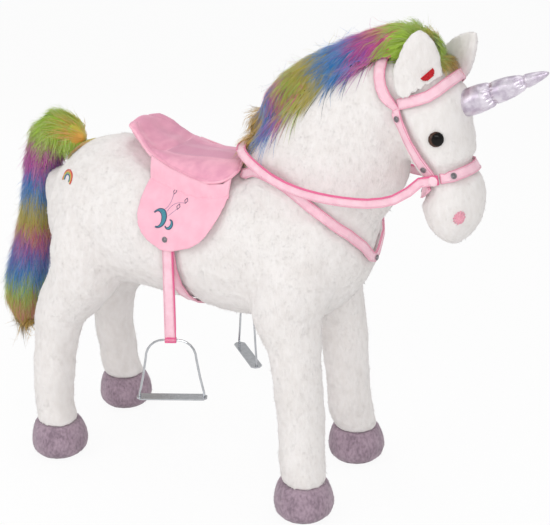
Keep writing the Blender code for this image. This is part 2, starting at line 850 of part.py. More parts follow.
def make_hoof(name, hoof_x, side):
    stations = [(-FLAT_CUT, HOOF_SOLE_SHARE, 0)]
    stations += [(height * HOOF_HEIGHT, radius, shift) for height, radius, shift in HOOF_RING_SHARES]
    rings = []
    for z, radius, shift in stations:
        middle = Vector((hoof_x + shift * HOOF_DIAMETER, side * HALF_TRACK, z))
        half = radius * HOOF_DIAMETER
        rings.append(ring_points(middle, UP, LEFT, half, half, HOOF_SIDES))
    top = Vector((hoof_x, side * HALF_TRACK, HOOF_HEIGHT))
    hoof = add_object(name, *skin_rings(rings, None, top), "hoof")
    reach = HOOF_DIAMETER
    low = Vector((hoof_x - reach, side * HALF_TRACK - reach, -reach))
    high = Vector((hoof_x + reach, side * HALF_TRACK + reach, 0))
    apply_boolean(hoof, block("floor_cutter", low, high, "hoof"), "DIFFERENCE")
    return hoof


def make_ear(name, side, foot_shares, lean, tilt):
    """An ear that leans forward and tilts inward from its foot on the head."""
    across = Vector((math.sin(EAR_TURN), -side * math.cos(EAR_TURN), 0))
    along = (UP * math.cos(lean) + FORWARD * math.sin(lean) - LEFT * (side * math.sin(tilt))).normalized()
    foot = below_crown(foot_shares[0], foot_shares[1], EAR_SPREAD_SHARE, side)
    stations = []
    for share, half_width, half_thickness in EAR_RING_SHARES:
        middle = foot + along * (share * EAR_LENGTH)
        stations.append((middle, half_thickness * EAR_THICKNESS, half_width * EAR_WIDTH))
    return stuffed_form(name, stations, foot, foot + along * EAR_LENGTH, EAR_SIDES, "plush", across)


def make_horn(head_surface):
    along = Vector((math.cos(HORN_RISE), 0, math.sin(HORN_RISE)))
    inside = below_crown(*HORN_AXIS_SHARES)
    exit_spot = head_surface.ray_cast(inside + along * HEAD_DEPTH, -along)[0]
    base = exit_spot - along * HORN_SINK
    stations = []
    for share, radius in HORN_RING_SHARES:
        half = radius * HORN_DIAMETER
        stations.append((base + along * (share * HORN_LENGTH), half, half))
    return stuffed_form("horn", stations, base, base + along * HORN_LENGTH, HORN_SIDES, "horn")


def make_hair(name, origin, unit, shares, height, width, backward=False):
    """A bunch of hair: stations forward (or backward) and up from an origin."""
    way = -1 if backward else 1
    stations = []
    for forward, up, half_height, half_width in shares:
        middle = origin + Vector((way * forward * unit, 0, up * unit))
        stations.append((middle, half_height * height, half_width * width))
    first = stations[0][0] + (stations[0][0] - stations[1][0]).normalized() * (HAIR_CAP_SHARE * height)
    last = stations[-1][0] + (stations[-1][0] - stations[-2][0]).normalized() * (HAIR_CAP_SHARE * height)
    return stuffed_form(name, stations, first, last, HAIR_SIDES, "hair")


def on_head_side(shares, side, head_surface):
    """Where a sideways line through a place on the head leaves it, and the surface's normal there."""
    place = below_crown(*shares, 0, side)
    spot, normal, _, _ = head_surface.ray_cast(place + LEFT * (side * HEAD_WIDTH), LEFT * -side)
    return spot, normal


def make_eye(side_name, side, head, head_surface):
    """A safety eye: dome and shank in one, with a lock washer in the stuffing."""
    spot, normal = on_head_side(EYE_SHARES, side, head_surface)
    normal = (normal + LEFT * side * EYE_SIDEWAYS_SHARE).normalized()
    base = spot - normal * EYE_SINK
    profile = [
        (0, -EYE_SHANK_LENGTH),
        (EYE_SHANK_RADIUS, -EYE_SHANK_LENGTH),
        (EYE_SHANK_RADIUS, 0),
    ]
    profile += [(radius * EYE_RADIUS, height * EYE_DOME) for radius, height in EYE_DOME_SHARES]
    profile.append((0, EYE_DOME))
    eye = turned_piece("eye_" + side_name, base, normal, profile, EYE_SIDES, "eye")
    low = base - normal * EYE_WASHER_DEPTH
    high = low + normal * EYE_WASHER_THICKNESS
    inner = round_hole(EYE_SHANK_RADIUS, GAP, EYE_SIDES)
    straight_tube("eye_washer_" + side_name, low, high, EYE_WASHER_RADIUS, inner, EYE_SIDES, "washer")
    outside = base + normal * (EYE_DOME + CUT_OVERRUN)
    for start, end, radius in (
        (base - normal * (EYE_SHANK_LENGTH + GAP), outside, EYE_SHANK_RADIUS),
        (low - normal * GAP, high + normal * GAP, EYE_WASHER_RADIUS),
        (base - normal * GAP, outside, EYE_RADIUS),
    ):
        cut_round(head, start, end, round_hole(radius, GAP, EYE_SIDES), EYE_SIDES)
    return eye


def make_nostril(side_name, side, head, head_surface):
    """An embroidered patch on the muzzle."""
    spot, normal = on_head_side(NOSTRIL_SHARES, side, head_surface)
    profile = (
        (0, -SINK),
        (NOSTRIL_RADIUS, -SINK),
        (NOSTRIL_RADIUS, NOSTRIL_THICKNESS),
        (0, NOSTRIL_THICKNESS),
    )
    patch = turned_piece("nostril_" + side_name, spot, normal, profile, RIVET_SIDES, "nostril")
    carve(patch, [head])


def make_boss(side_name, side, head_surface, under):
    """The boss where the bridle's straps meet, with a shank that the rein turns on."""
    spot = on_head_side(BOSS_SHARES, side, head_surface)[0]
    face = STRAP_THICKNESS + REIN_STAND + REIN_THICKNESS + GAP
    profile = (
        (0, -SINK),
        (BOSS_SHANK_RADIUS, -SINK),
        (BOSS_SHANK_RADIUS, face),
        (BOSS_RADIUS, face),
        (BOSS_RADIUS, face + BOSS_RIM),
        (BOSS_RADIUS * BOSS_CROWN_SHARE, face + BOSS_DOME),
        (0, face + BOSS_DOME),
    )
    boss = turned_piece("bridle_boss_" + side_name, spot, LEFT * side, profile, BOSS_SIDES, "boss")
    carve(boss, under)
    return spot


def make_reins(boss_spot):
    """One loop of webbing that turns on the bosses, on edge at the cheeks and flat over the withers."""
    level = abs(boss_spot.y) + STRAP_THICKNESS + REIN_STAND + REIN_THICKNESS / 2
    points = []
    leans = []
    for side in (RIGHT_SIDE, LEFT_SIDE):
        boss = Vector((boss_spot.x, side * level, boss_spot.z))
        half = [below_crown(*share[:3], side) for share in REIN_SHARES]
        half[0].y = boss.y
        end = boss + (boss - half[0]).normalized() * (REIN_WIDTH / 2)
        half = [end, boss] + half
        half_leans = [Vector((0, side, 0))] * 2
        half_leans += [Vector((0, side, share[3])).normalized() for share in REIN_SHARES]
        if side == LEFT_SIDE:
            half = half[-2::-1]
            half_leans = half_leans[-2::-1]
        points += half
        leans += half_leans
    route = smooth_route(points, REIN_STEP)
    facings = smooth_route(points, REIN_STEP, leans)
    rings = []
    for spot, facing, along in zip(route, facings, tangents(route)):
        normal = (facing - facing.dot(along) * along).normalized()
        across = along.cross(normal).normalized() * (REIN_WIDTH / 2)
        thick = normal * (REIN_THICKNESS / 2)
        outer = [spot + thick - across, spot + thick + across]
        rings.append(outer + [spot - thick + across, spot - thick - across])
    reins = add_object("reins", *skin_rings(rings), "webbing")
    reach = LEFT * (level + REIN_THICKNESS)
    pivot = Vector((boss_spot.x, 0, boss_spot.z))
    hole = round_hole(BOSS_SHANK_RADIUS, GAP, BOSS_SIDES)
    for side in (RIGHT_SIDE, LEFT_SIDE):
        cut_round(reins, pivot + reach * (side / 2), pivot + reach * side, hole, BOSS_SIDES)
    return pivot


def seat_half_width(x):
    """Half the seat's width at a place along the body."""
    seat_rear = BODY_REAR + SEAT_REAR_SHARE * BODY_LENGTH
    share = min(FLAP_SEAM_SHARE, max(0, (x - seat_rear) / SEAT_LENGTH))
    return table_value(SEAT_OUTLINE_SHARES, share, 1) * SEAT_WIDTH


def trunk_top(surface, x, y):
    """The height of the trunk's top at a place."""
    return surface.ray_cast(Vector((x, y, BELLY_CLEARANCE + 2 * BODY_HEIGHT)), -UP)[0].z


def trunk_side(surface, x, z, side):
    """How far out the trunk's side lies at a place."""
    return abs(surface.ray_cast(Vector((x, side * BODY_WIDTH, z)), LEFT * -side)[0].y)


def make_seat(surface, neighbours):
    seat_rear = BODY_REAR + SEAT_REAR_SHARE * BODY_LENGTH
    seat_middle = seat_rear + SEAT_LENGTH / 2
    verts = []
    for share, half_width, wall, floor in SEAT_OUTLINE_SHARES:
        for column in range(SEAT_COLUMNS + 1):
            t = 2 * column / SEAT_COLUMNS - 1
            x = seat_rear + share * SEAT_LENGTH - SEAT_FRONT_BOW * share**4 * (1 - t * t)
            y = t * half_width * SEAT_WIDTH
            side_wall = eased(abs(t), *SEAT_WALL_SHARES)
            rise = 1 - (1 - side_wall) * (1 - floor)
            pad = SEAT_PAD + (SEAT_RIM_PAD - SEAT_PAD) * t * t
            verts.append(Vector((x, y, trunk_top(surface, x, y) + pad + rise * wall * CANTLE_RISE)))
    grid = len(verts)
    for top in verts[:grid]:
        x = seat_middle + (top.x - seat_middle) * SEAT_BASE_SHARE
        y = top.y * SEAT_BASE_SHARE
        verts.append(Vector((x, y, trunk_top(surface, x, y) - SINK)))
    faces = slab_faces(len(SEAT_OUTLINE_SHARES), SEAT_COLUMNS + 1)
    seat = add_object("saddle_seat", verts, faces, "velvet")
    carve(seat, neighbours)
    return seat


def slab_faces(rows, columns):
    """Faces of a slab whose points are a grid of rows and columns, then the same grid behind it."""
    behind = rows * columns
    faces = []
    for row in range(rows - 1):
        for column in range(columns - 1):
            i = row * columns + column
            face = (i, i + 1, i + columns + 1, i + columns)
            faces.append(face)
            faces.append(tuple(behind + k for k in face[::-1]))
    edge = [column for column in range(columns)]
    edge += [row * columns + columns - 1 for row in range(1, rows)]
    edge += [(rows - 1) * columns + column for column in range(columns - 2, -1, -1)]
    edge += [row * columns for row in range(rows - 2, 0, -1)]
    for i, k in zip(edge, edge[1:] + edge[:1]):
        faces.append((i, k, behind + k, behind + i))
    return faces


def make_flap(side_name, side, surface):
    """A saddle flap that stands off the body, with the line that it lifts about."""
    foot_z = BELLY_CLEARANCE + FLAP_FOOT_SHARE * BODY_HEIGHT
    inner = []
    outer = []
    seam = []
    for row in range(FLAP_ROWS + 1):
        down = row / FLAP_ROWS
        rear = BODY_REAR + table_value(FLAP_EDGE_SHARES, down, 1) * BODY_LENGTH
        front = BODY_REAR + table_value(FLAP_EDGE_SHARES, down, 2) * BODY_LENGTH
        for column in range(FLAP_COLUMNS + 1):
            x = rear + (front - rear) * column / FLAP_COLUMNS
            seam_y = side * (seat_half_width(x) + FLAP_SEAM_GAP)
            seam_z = trunk_top(surface, x, seam_y)
            z = seam_z + (foot_z - seam_z) * down
            stand = FLAP_TOP_GAP + (FLAP_STAND - FLAP_TOP_GAP) * eased(down, 0, FLAP_STAND_SHARE)
            y = trunk_side(surface, x, z, side) + stand
            inner.append(Vector((x, side * y, z)))
            outer.append(Vector((x, side * (y + FLAP_THICKNESS), z)))
            if row == 0:
                seam.append(Vector((x, side * y, z)))
    faces = slab_faces(FLAP_ROWS + 1, FLAP_COLUMNS + 1)
    flap = add_object("flap_" + side_name, inner + outer, faces, "velvet")
    hinge_y = side * min(abs(spot.y) for spot in seam)
    hinge_z = max(spot.z for spot in seam)
    hinge_x = (seam[0].x + seam[-1].x) / 2
    return flap, Vector((hinge_x, hinge_y, hinge_z))


def make_stirrup(side_name, side, flap, surface, yaw, strap_length):
    """Strap, iron, foot plate and the rivet that carries them on the flap."""
    pivot_x = BODY_REAR + STIRRUP_ALONG_SHARE * BODY_LENGTH
    pivot_z = BELLY_CLEARANCE + FLAP_FOOT_SHARE * BODY_HEIGHT + STIRRUP_PIVOT_RISE
    widest = max(trunk_side(surface, pivot_x, z, side) for z in (pivot_z, pivot_z - STIRRUP_PIVOT_RISE))
    pivot = Vector((pivot_x, side * (widest + STIRRUP_STRAP_OFFSET), pivot_z))
    out = LEFT * side

    flap_tree = surface_of([flap])
    flap_face = flap_tree.ray_cast(pivot + out * BODY_WIDTH, -out)[0]
    head = abs(flap_face.y - pivot.y) + PIVOT_HEAD_STAND
    tail = STIRRUP_STRAP_THICKNESS / 2 + PIVOT_PLAY
    profile = (
        (0, -tail - PIVOT_TAIL),
        (PIVOT_TAIL_RADIUS, -tail - PIVOT_TAIL),
        (PIVOT_TAIL_RADIUS, -tail),
        (PIVOT_RADIUS, -tail),
        (PIVOT_RADIUS, head),
        (RIVET_RADIUS, head),
        (RIVET_RADIUS, head + RIVET_HEIGHT * RIVET_RIM_SHARE),
        (RIVET_RADIUS * RIVET_CROWN_SHARES[0], head + RIVET_HEIGHT * RIVET_CROWN_SHARES[1]),
        (0, head + RIVET_HEIGHT),
    )
    turned_piece("flap_rivet_" + side_name, pivot, out, profile, RIVET_SIDES, "rivet")
    hole = round_hole(PIVOT_RADIUS, GAP, RIVET_SIDES)
    cut_round(flap, pivot - out * CUT_OVERRUN, pivot + out * (head + CUT_OVERRUN), hole, RIVET_SIDES)

    along = Vector((math.cos(yaw), math.sin(yaw), 0))
    arch = pivot - UP * strap_length
    make_stirrup_strap(side_name, side, pivot, arch, yaw, along)
    make_iron(side_name, arch, along)
    return pivot, arch, along


def make_stirrup_strap(side_name, side, pivot, arch, yaw, along):
    """A strap that hangs from the rivet, turns to the iron and ends in a loop round its rod."""
    half_width = STIRRUP_STRAP_WIDTH / 2
    half_thick = STIRRUP_STRAP_THICKNESS / 2
    start_z = pivot.z + STIRRUP_STRAP_TOP
    straight_to = pivot.z - STIRRUP_PIVOT_RISE
    hub = round_hole(IRON_ROD_RADIUS, LOOP_PLAY, ROD_SIDES) + LOOP_WALL
    rings = []
    for row in range(STIRRUP_STRAP_ROWS + 1):
        z = start_z + (arch.z + half_thick - start_z) * row / STIRRUP_STRAP_ROWS
        turn = yaw * eased(straight_to - z, 0, straight_to - arch.z - hub)
        wide = Vector((math.cos(turn), math.sin(turn), 0)) * half_width
        thick = Vector((-math.sin(turn), math.cos(turn), 0)) * half_thick
        middle = Vector((pivot.x, pivot.y, z))
        outer = [middle + wide + thick, middle - wide + thick]
        rings.append(outer + [middle - wide - thick, middle + wide - thick])
    strap = add_object("stirrup_strap_" + side_name, *skin_rings(rings), "webbing")
    reach = along * half_width
    loop_rings = [ring_points(arch + reach * end, along, UP, hub, hub, ROD_SIDES) for end in (-1, 1)]
    apply_boolean(strap, add_object("loop", *skin_rings(loop_rings), "webbing"), "UNION")
    bore = round_hole(IRON_ROD_RADIUS, LOOP_PLAY, ROD_SIDES)
    overrun = along * CUT_OVERRUN
    cut_round(strap, arch - reach - overrun, arch + reach + overrun, bore, ROD_SIDES)
    out = LEFT * side
    hole = round_hole(PIVOT_RADIUS, GAP, RIVET_SIDES)
    cut_round(strap, pivot - out * CUT_OVERRUN, pivot + out * CUT_OVERRUN, hole, RIVET_SIDES)
    strap.location = pivot
    strap.data.transform(Matrix.Translation(-pivot))


def make_iron(side_name, arch, along):
    """A stirrup iron bent from one rod, and the foot plate that its ends go through."""
    half_top = IRON_TOP_FLAT / 2
    shoulder = IRON_SHOULDER_WIDTH / 2
    foot = IRON_FOOT_WIDTH / 2
    plate_low = IRON_HEIGHT + PLATE_THICKNESS / 2
    half = [(half_top, 0)]
    for step in range(1, IRON_BEND_STEPS + 1):
        turn = math.pi / 2 * step / IRON_BEND_STEPS
        across = half_top + (shoulder - half_top) * math.sin(turn)
        half.append((across, IRON_SHOULDER_DROP * (1 - math.cos(turn))))
    half.append(((shoulder + foot) / 2, (IRON_SHOULDER_DROP + IRON_HEIGHT) / 2))
    half.append((foot, IRON_HEIGHT - IRON_SHOULDER_DROP / 4))
    half.append((foot, plate_low + IRON_END))
    points = [arch - along * across - UP * drop for across, drop in half[::-1]]
    points += [arch + along * across - UP * drop for across, drop in half]
    sideways = along.cross(UP)
    rings = []
    for spot, direction in zip(points, tangents(points)):
        rings.append(ring_points(spot, direction, sideways, IRON_ROD_RADIUS, IRON_ROD_RADIUS, ROD_SIDES))
    iron = add_object("stirrup_iron_" + side_name, *skin_rings(rings), "rod")
    middle = arch - UP * IRON_HEIGHT
    outline = plate_outline()
    plate_rings = []
    for height in (-PLATE_THICKNESS / 2, PLATE_THICKNESS / 2):
        plate_rings.append([middle + along * s + sideways * t + UP * height for s, t in outline])
    plate = add_object("stirrup_plate_" + side_name, *skin_rings(plate_rings), "rod")
    reach = UP * (PLATE_THICKNESS / 2 + CUT_OVERRUN)
    for way in (-1, 1):
        hole = middle + along * (foot * way)
        radius = round_hole(IRON_ROD_RADIUS, GAP, ROD_SIDES)
        cut_round(plate, hole - reach, hole + reach, radius, ROD_SIDES)
    for thing in (iron, plate):
        thing.location = arch
        thing.data.transform(Matrix.Translation(-arch))


def plate_outline():
    """The foot plate's outline, with cut corners."""
    half_length = PLATE_LENGTH / 2
    half_width = PLATE_WIDTH / 2
    corners = []
    for s, t in ((1, 1), (-1, 1), (-1, -1), (1, -1)):
        near_side = (s * half_length, t * (half_width - PLATE_CORNER))
        near_end = (s * (half_length - PLATE_CORNER), t * half_width)
        corners += [near_side, near_end] if s * t > 0 else [near_end, near_side]
    return corners


def make_frame(trunk, neck, legs, hooves):
    """Steel tubes, spine and seat board, and the room for them in the stuffing."""
    cross_z = BELLY_CLEARANCE + CROSS_HEIGHT_SHARE * BODY_HEIGHT
    inner_radius = TUBE_RADIUS - TUBE_WALL
    clear = round_hole(TUBE_RADIUS, GAP, TUBE_SIDES)
    ends = (("front", FRONT_HOOF_X, -FRONT_TUBE_LEAN), ("rear", REAR_HOOF_X, REAR_TUBE_LEAN))
    cross_xs = []
    for end_name, hoof_x, lean in ends:
        cross_x = hoof_x + lean
        cross_xs.append(cross_x)
        right_end = Vector((cross_x, -CROSS_HALF_LENGTH, cross_z))
        left_end = Vector((cross_x, CROSS_HALF_LENGTH, cross_z))
        name = "cross_tube_" + end_name
        straight_tube(name, right_end, left_end, TUBE_RADIUS, inner_radius, TUBE_SIDES, "steel")
        cut_round(trunk, right_end - LEFT * GAP, left_end + LEFT * GAP, clear)
        for side, side_name in SIDE_NAMES:
            name = end_name + "_" + side_name
            foot = Vector((hoof_x, side * HALF_TRACK, TUBE_FOOT_HEIGHT))
            top = Vector((cross_x, side * (HALF_TRACK - LEG_TUBE_INSET), cross_z))
            tube_name = "leg_tube_" + name
            tube = straight_tube(tube_name, foot, top, TUBE_RADIUS, inner_radius, TUBE_SIDES, "steel")
            cut_round(tube, right_end - LEFT * CUT_OVERRUN, left_end + LEFT * CUT_OVERRUN, clear)
            along = (top - foot).normalized()
            below = foot - along * GAP
            above = top + along * GAP
            for thing in (hooves[name], legs[name], trunk):
                cut_round(thing, below, above, clear)

    spine_low = cross_z + TUBE_RADIUS + GAP
    low = Vector((min(cross_xs) - SPINE_OVERHANG, -SPINE_WIDTH / 2, spine_low))
    high = Vector((max(cross_xs) + SPINE_OVERHANG, SPINE_WIDTH / 2, spine_low + SPINE_DEPTH))
    room = Vector((GAP, GAP, GAP))
    wall = Vector((-CUT_OVERRUN, TUBE_WALL, TUBE_WALL))
    spine = block("spine", low, high, "steel")
    apply_boolean(spine, block("hollow_cutter", low + wall, high - wall, "steel"), "DIFFERENCE")
    apply_boolean(trunk, block("room_cutter", low - room, high + room, "steel"), "DIFFERENCE")

    post_start = Vector((NECK_FOOT.x + NECK_POST_SETBACK, 0, high.z - SPINE_DEPTH / 2))
    rising = Vector((math.cos(NECK_POST_RISE), 0, math.sin(NECK_POST_RISE)))
    post_end = post_start + rising * NECK_POST_LENGTH
    post = straight_tube("neck_post", post_start, post_end, TUBE_RADIUS, inner_radius, TUBE_SIDES, "steel")
    apply_boolean(post, block("spine_cutter", low - room, high + room, "steel"), "DIFFERENCE")
    for thing in (trunk, neck):
        cut_round(thing, post_start, post_end + rising * GAP, clear)

    board_middle = BODY_REAR + SEAT_REAR_SHARE * BODY_LENGTH + SEAT_LENGTH / 2
    board_low = high.z + GAP
    low = Vector((board_middle - SEAT_BOARD_LENGTH / 2, -SEAT_BOARD_WIDTH / 2, board_low))
    board_high = board_low + SEAT_BOARD_THICKNESS
    high = Vector((board_middle + SEAT_BOARD_LENGTH / 2, SEAT_BOARD_WIDTH / 2, board_high))
    block("seat_board", low, high, "plywood")
    apply_boolean(trunk, block("room_cutter", low - room, high + room, "steel"), "DIFFERENCE")


def set_origin(name, place):
    """Put an object's origin on its joint."""
    thing = bpy.data.objects[name]
    thing.data.transform(Matrix.Translation(thing.location - place))
    thing.location = place


def make_bridle(head, neck, ears, horn):
    """The bridle's straps with their rivets, cut clear of the stuffed forms while those are whole."""
    core = [below_crown(*shares) for shares in HEAD_CORE_SHARES]
    skin = surface_of([head, neck])
    bare = surface_of([head])
    straps = {}
    outers = {}
    for name, shares, surface, under in (
        ("crown_strap", CROWN_STRAP_SHARES, skin, [neck] + ears),
        ("browband", BROWBAND_SHARES, bare, [horn] + ears),
        ("noseband", NOSEBAND_SHARES, bare, []),
        ("chin_strap", CHIN_STRAP_SHARES, bare, []),
    ):
        points = both_sides(below_crown, shares)
        strap, outers[name] = add_strap(name, points, STRAP_WIDTH, core, surface, [head] + under)
        carve(strap, straps.values(), SEAM_GAP)
        straps[name] = strap
    for name, strap_name, share in (
        ("cheek_rivet_right", "crown_strap", CHEEK_RIVET_SHARE),
        ("cheek_rivet_left", "crown_strap", 1 - CHEEK_RIVET_SHARE),
        ("brow_rivet_right", "crown_strap", BROW_RIVET_SHARE),
        ("brow_rivet_left", "crown_strap", 1 - BROW_RIVET_SHARE),
        ("nose_rivet_right", "noseband", NOSE_RIVET_SHARE),
        ("nose_rivet_left", "noseband", 1 - NOSE_RIVET_SHARE),
        ("chin_rivet", "chin_strap", CHIN_RIVET_SHARE),
    ):
        add_rivet(name, straps[strap_name], outers[strap_name], share)
    return straps


def build():
    clear_scene()
    trunk = make_trunk()
    neck = make_neck()
    head = make_head()
    head_surface = surface_of([head])
    trunk_surface = surface_of([trunk])
    ears = [
        make_ear("ear_right", RIGHT_SIDE, RIGHT_EAR_FOOT_SHARES, RIGHT_EAR_LEAN, RIGHT_EAR_TILT),
        make_ear("ear_left", LEFT_SIDE, LEFT_EAR_FOOT_SHARES, LEFT_EAR_LEAN, LEFT_EAR_TILT),
    ]
    horn = make_horn(head_surface)
    straps = make_bridle(head, neck, ears, horn)

    mane = make_hair("mane", NECK_FOOT, NECK_LENGTH, MANE_RING_SHARES, MANE_HEIGHT, MANE_WIDTH)
    forelock = make_hair(
        "forelock", CROWN, FORELOCK_LENGTH, FORELOCK_RING_SHARES, FORELOCK_HEIGHT, FORELOCK_WIDTH
    )
    carve(forelock, [head, neck, mane, straps["crown_strap"], straps["browband"], horn] + ears)
    carve(mane, [trunk, neck, head, straps["crown_strap"]] + ears)
    tail_root = on_trunk(*TAIL_ROOT_SHARES)
    tail = make_hair("tail", tail_root, TAIL_DROP, TAIL_RING_SHARES, TAIL_THICKNESS, TAIL_WIDTH, True)
    carve(tail, [trunk])

    for side, side_name in SIDE_NAMES:
        make_nostril(side_name, side, head, head_surface)
        under = [head, straps["crown_strap"], straps["noseband"], straps["chin_strap"]]
        boss_spot = make_boss(side_name, side, head_surface, under)
    rein_pivot = make_reins(boss_spot)

    seat = make_seat(trunk_surface, [trunk])
    core = [on_trunk(*shares) for shares in TRUNK_CORE_SHARES]
    points = both_sides(on_trunk, GIRTH_SHARES)
    add_strap("girth", points, GIRTH_WIDTH, core, trunk_surface, [trunk])
    points = both_sides(on_trunk, BREAST_STRAP_SHARES)
    skin = surface_of([trunk, neck])
    breast_strap, breast_outer = add_strap(
        "breast_strap", points, BREAST_STRAP_WIDTH, core, skin, [trunk, neck, seat]
    )
    add_rivet("breast_rivet", breast_strap, breast_outer, BREAST_RIVET_SHARE)

    tail_hinge = max((vert.co for vert in tail.data.vertices), key=lambda spot: spot.x)
    places = {"reins": rein_pivot, "tail": Vector((tail_hinge.x, 0, tail_hinge.z))}
    for side, side_name, yaw, strap_length in (
        (RIGHT_SIDE, "right", RIGHT_STIRRUP_YAW, STIRRUP_STRAP_LENGTH),
        (LEFT_SIDE, "left", LEFT_STIRRUP_YAW, STIRRUP_STRAP_LENGTH + LEFT_STRAP_EXTRA),
    ):
        flap, hinge = make_flap(side_name, side, trunk_surface)
        carve(flap, [trunk])
        pivot, arch, along = make_stirrup(side_name, side, flap, trunk_surface, yaw, strap_length)
        places["flap_" + side_name] = hinge
        places["stirrup_strap_" + side_name] = pivot
        places["stirrup_iron_" + side_name] = arch
        print(side_name, "stirrup iron turns about", tuple(round(value, 5) for value in along))

    for thing in [horn] + ears:
        carve(thing, [head])
    for ear in ears:
        carve(ear, [neck])
    carve(head, [neck])
    carve(neck, [trunk])
    for side, side_name in SIDE_NAMES:
        make_eye(side_name, side, head, head_surface)
    legs = {}
    hooves = {}
    for end_name, hoof_x, shares in (
        ("front", FRONT_HOOF_X, FRONT_LEG_SHARES),
        ("rear", REAR_HOOF_X, REAR_LEG_SHARES),
    ):
        for side, side_name in SIDE_NAMES:
            name = end_name + "_" + side_name
            legs[name] = make_leg("leg_" + name, hoof_x, side, shares)
            carve(legs[name], [trunk])
            hooves[name] = make_hoof("hoof_" + name, hoof_x, side)
    make_frame(trunk, neck, legs, hooves)

    for name, place in places.items():
        set_origin(name, place)
        print(name, "turns about a line through", tuple(round(value, 5) for value in place))


build()
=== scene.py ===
"""A standing plush ride-on animal with a rainbow mane, a velvet saddle, a bridle and stirrups."""
import json
import math
import bpy
import bmesh
import numpy as np
from mathutils import Matrix, Vector, noise
from mathutils.bvhtree import BVHTree
from mathutils.kdtree import KDTree

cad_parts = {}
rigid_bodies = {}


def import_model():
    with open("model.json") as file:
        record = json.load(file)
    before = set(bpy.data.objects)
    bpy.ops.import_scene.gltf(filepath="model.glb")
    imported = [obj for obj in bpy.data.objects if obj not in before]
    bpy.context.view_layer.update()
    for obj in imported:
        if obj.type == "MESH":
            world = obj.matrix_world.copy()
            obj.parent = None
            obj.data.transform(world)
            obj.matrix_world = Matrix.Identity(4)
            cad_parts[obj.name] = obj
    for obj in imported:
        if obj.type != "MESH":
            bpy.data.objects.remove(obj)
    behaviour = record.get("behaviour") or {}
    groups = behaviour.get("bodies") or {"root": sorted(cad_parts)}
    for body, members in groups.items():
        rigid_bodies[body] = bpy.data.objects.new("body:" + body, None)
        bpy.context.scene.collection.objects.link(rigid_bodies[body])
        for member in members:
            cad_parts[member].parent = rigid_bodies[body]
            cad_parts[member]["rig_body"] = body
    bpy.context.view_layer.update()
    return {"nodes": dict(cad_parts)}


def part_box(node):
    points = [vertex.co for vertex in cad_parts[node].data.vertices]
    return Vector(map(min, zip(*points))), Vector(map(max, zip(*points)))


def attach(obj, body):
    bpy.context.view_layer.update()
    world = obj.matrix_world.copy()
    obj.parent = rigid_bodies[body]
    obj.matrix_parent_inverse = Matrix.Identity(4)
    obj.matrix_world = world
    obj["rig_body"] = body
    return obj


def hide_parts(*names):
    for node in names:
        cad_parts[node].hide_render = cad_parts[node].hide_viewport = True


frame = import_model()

NODES = frame["nodes"]
MERGE_GAP = 0.00002
UP = Vector((0, 0, 1))
AHEAD = Vector((1, 0, 0))
# Without a seed of its own, Blender's noise would turn the hair another way at each run.
noise.seed_set(5)


# Tools for picking and finishing

def deselect_all():
    """Nothing stays selected, whatever was made before."""
    for thing in bpy.context.view_layer.objects:
        thing.select_set(False)


def take(thing):
    """Only this object is selected and active."""
    deselect_all()
    thing.select_set(True)
    bpy.context.view_layer.objects.active = thing


def apply_modifier(thing, kind, **settings):
    """Adds one modifier with its settings and applies it."""
    take(thing)
    modifier = thing.modifiers.new(kind.lower(), kind)
    for key, value in settings.items():
        setattr(modifier, key, value)
    bpy.ops.object.modifier_apply(modifier=modifier.name)


def settle(thing):
    """The object's place goes into its mesh."""
    take(thing)
    bpy.ops.object.transform_apply(location=True, rotation=True, scale=True)


def new_object(name, data):
    """An object with this data, linked to the scene."""
    thing = bpy.data.objects.new(name, data)
    bpy.context.scene.collection.objects.link(thing)
    return thing


def mesh_piece(name, points, faces, edges=()):
    """A new object from points and faces."""
    mesh = bpy.data.meshes.new(name)
    mesh.from_pydata([tuple(p) for p in points], edges, [tuple(f) for f in faces])
    mesh.update()
    return new_object(name, mesh)


def copy_of(name, *nodes):
    """One new object from copies of CAD nodes, with the loose triangles merged."""
    form = bmesh.new()
    for node in nodes:
        form.from_mesh(NODES[node].data)
    bmesh.ops.remove_doubles(form, verts=form.verts, dist=MERGE_GAP)
    mesh = bpy.data.meshes.new(name)
    form.to_mesh(mesh)
    form.free()
    return new_object(name, mesh)


def skin_of(name, nodes, voxel, rounds):
    """A smooth closed skin in the place of CAD nodes."""
    piece = copy_of(name, *nodes)
    apply_modifier(piece, "REMESH", mode="VOXEL", voxel_size=voxel)
    apply_modifier(piece, "SMOOTH", factor=0.5, iterations=rounds)
    return piece


def edit_all(piece, *steps):
    """Runs edit steps on the whole mesh."""
    take(piece)
    bpy.ops.object.mode_set(mode="EDIT")
    bpy.ops.mesh.select_all(action="SELECT")
    for operator, settings in steps:
        operator(**settings)
    bpy.ops.object.mode_set(mode="OBJECT")


def face_outwards(piece):
    """All the faces of closed forms point out."""
    edit_all(piece, (bpy.ops.mesh.normals_make_consistent, {"inside": False}))


def joined(parts, name):
    """Several pieces become one."""
    deselect_all()
    for part in parts:
        part.select_set(True)
    bpy.context.view_layer.objects.active = parts[0]
    bpy.ops.object.join()
    parts[0].name = name
    return parts[0]


def shade_like(piece, normals):
    """The points take these normals, so that fine pile is lit as the cloth under it is."""
    piece.data.normals_split_custom_set_from_vertices([tuple(n) for n in normals])


def finish_piece(piece, body, finish, replaced=(), smooth=True):
    """The closing steps of every piece: shading, finish, body, slot and what it stands for."""
    take(piece)
    if smooth:
        bpy.ops.object.shade_smooth()
    if finish is not None:
        piece.data.materials.clear()
        piece.data.materials.append(finish)
    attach(piece, body)
    if replaced:
        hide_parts(*replaced)
    return piece


def read_vectors(piece, what):
    """One vector for each point of the mesh, as an array."""
    flat = np.zeros(len(piece.data.vertices) * 3)
    piece.data.vertices.foreach_get(what, flat)
    return flat.reshape(-1, 3)


def points_of(piece):
    """The places of the mesh's points."""
    return read_vectors(piece, "co")


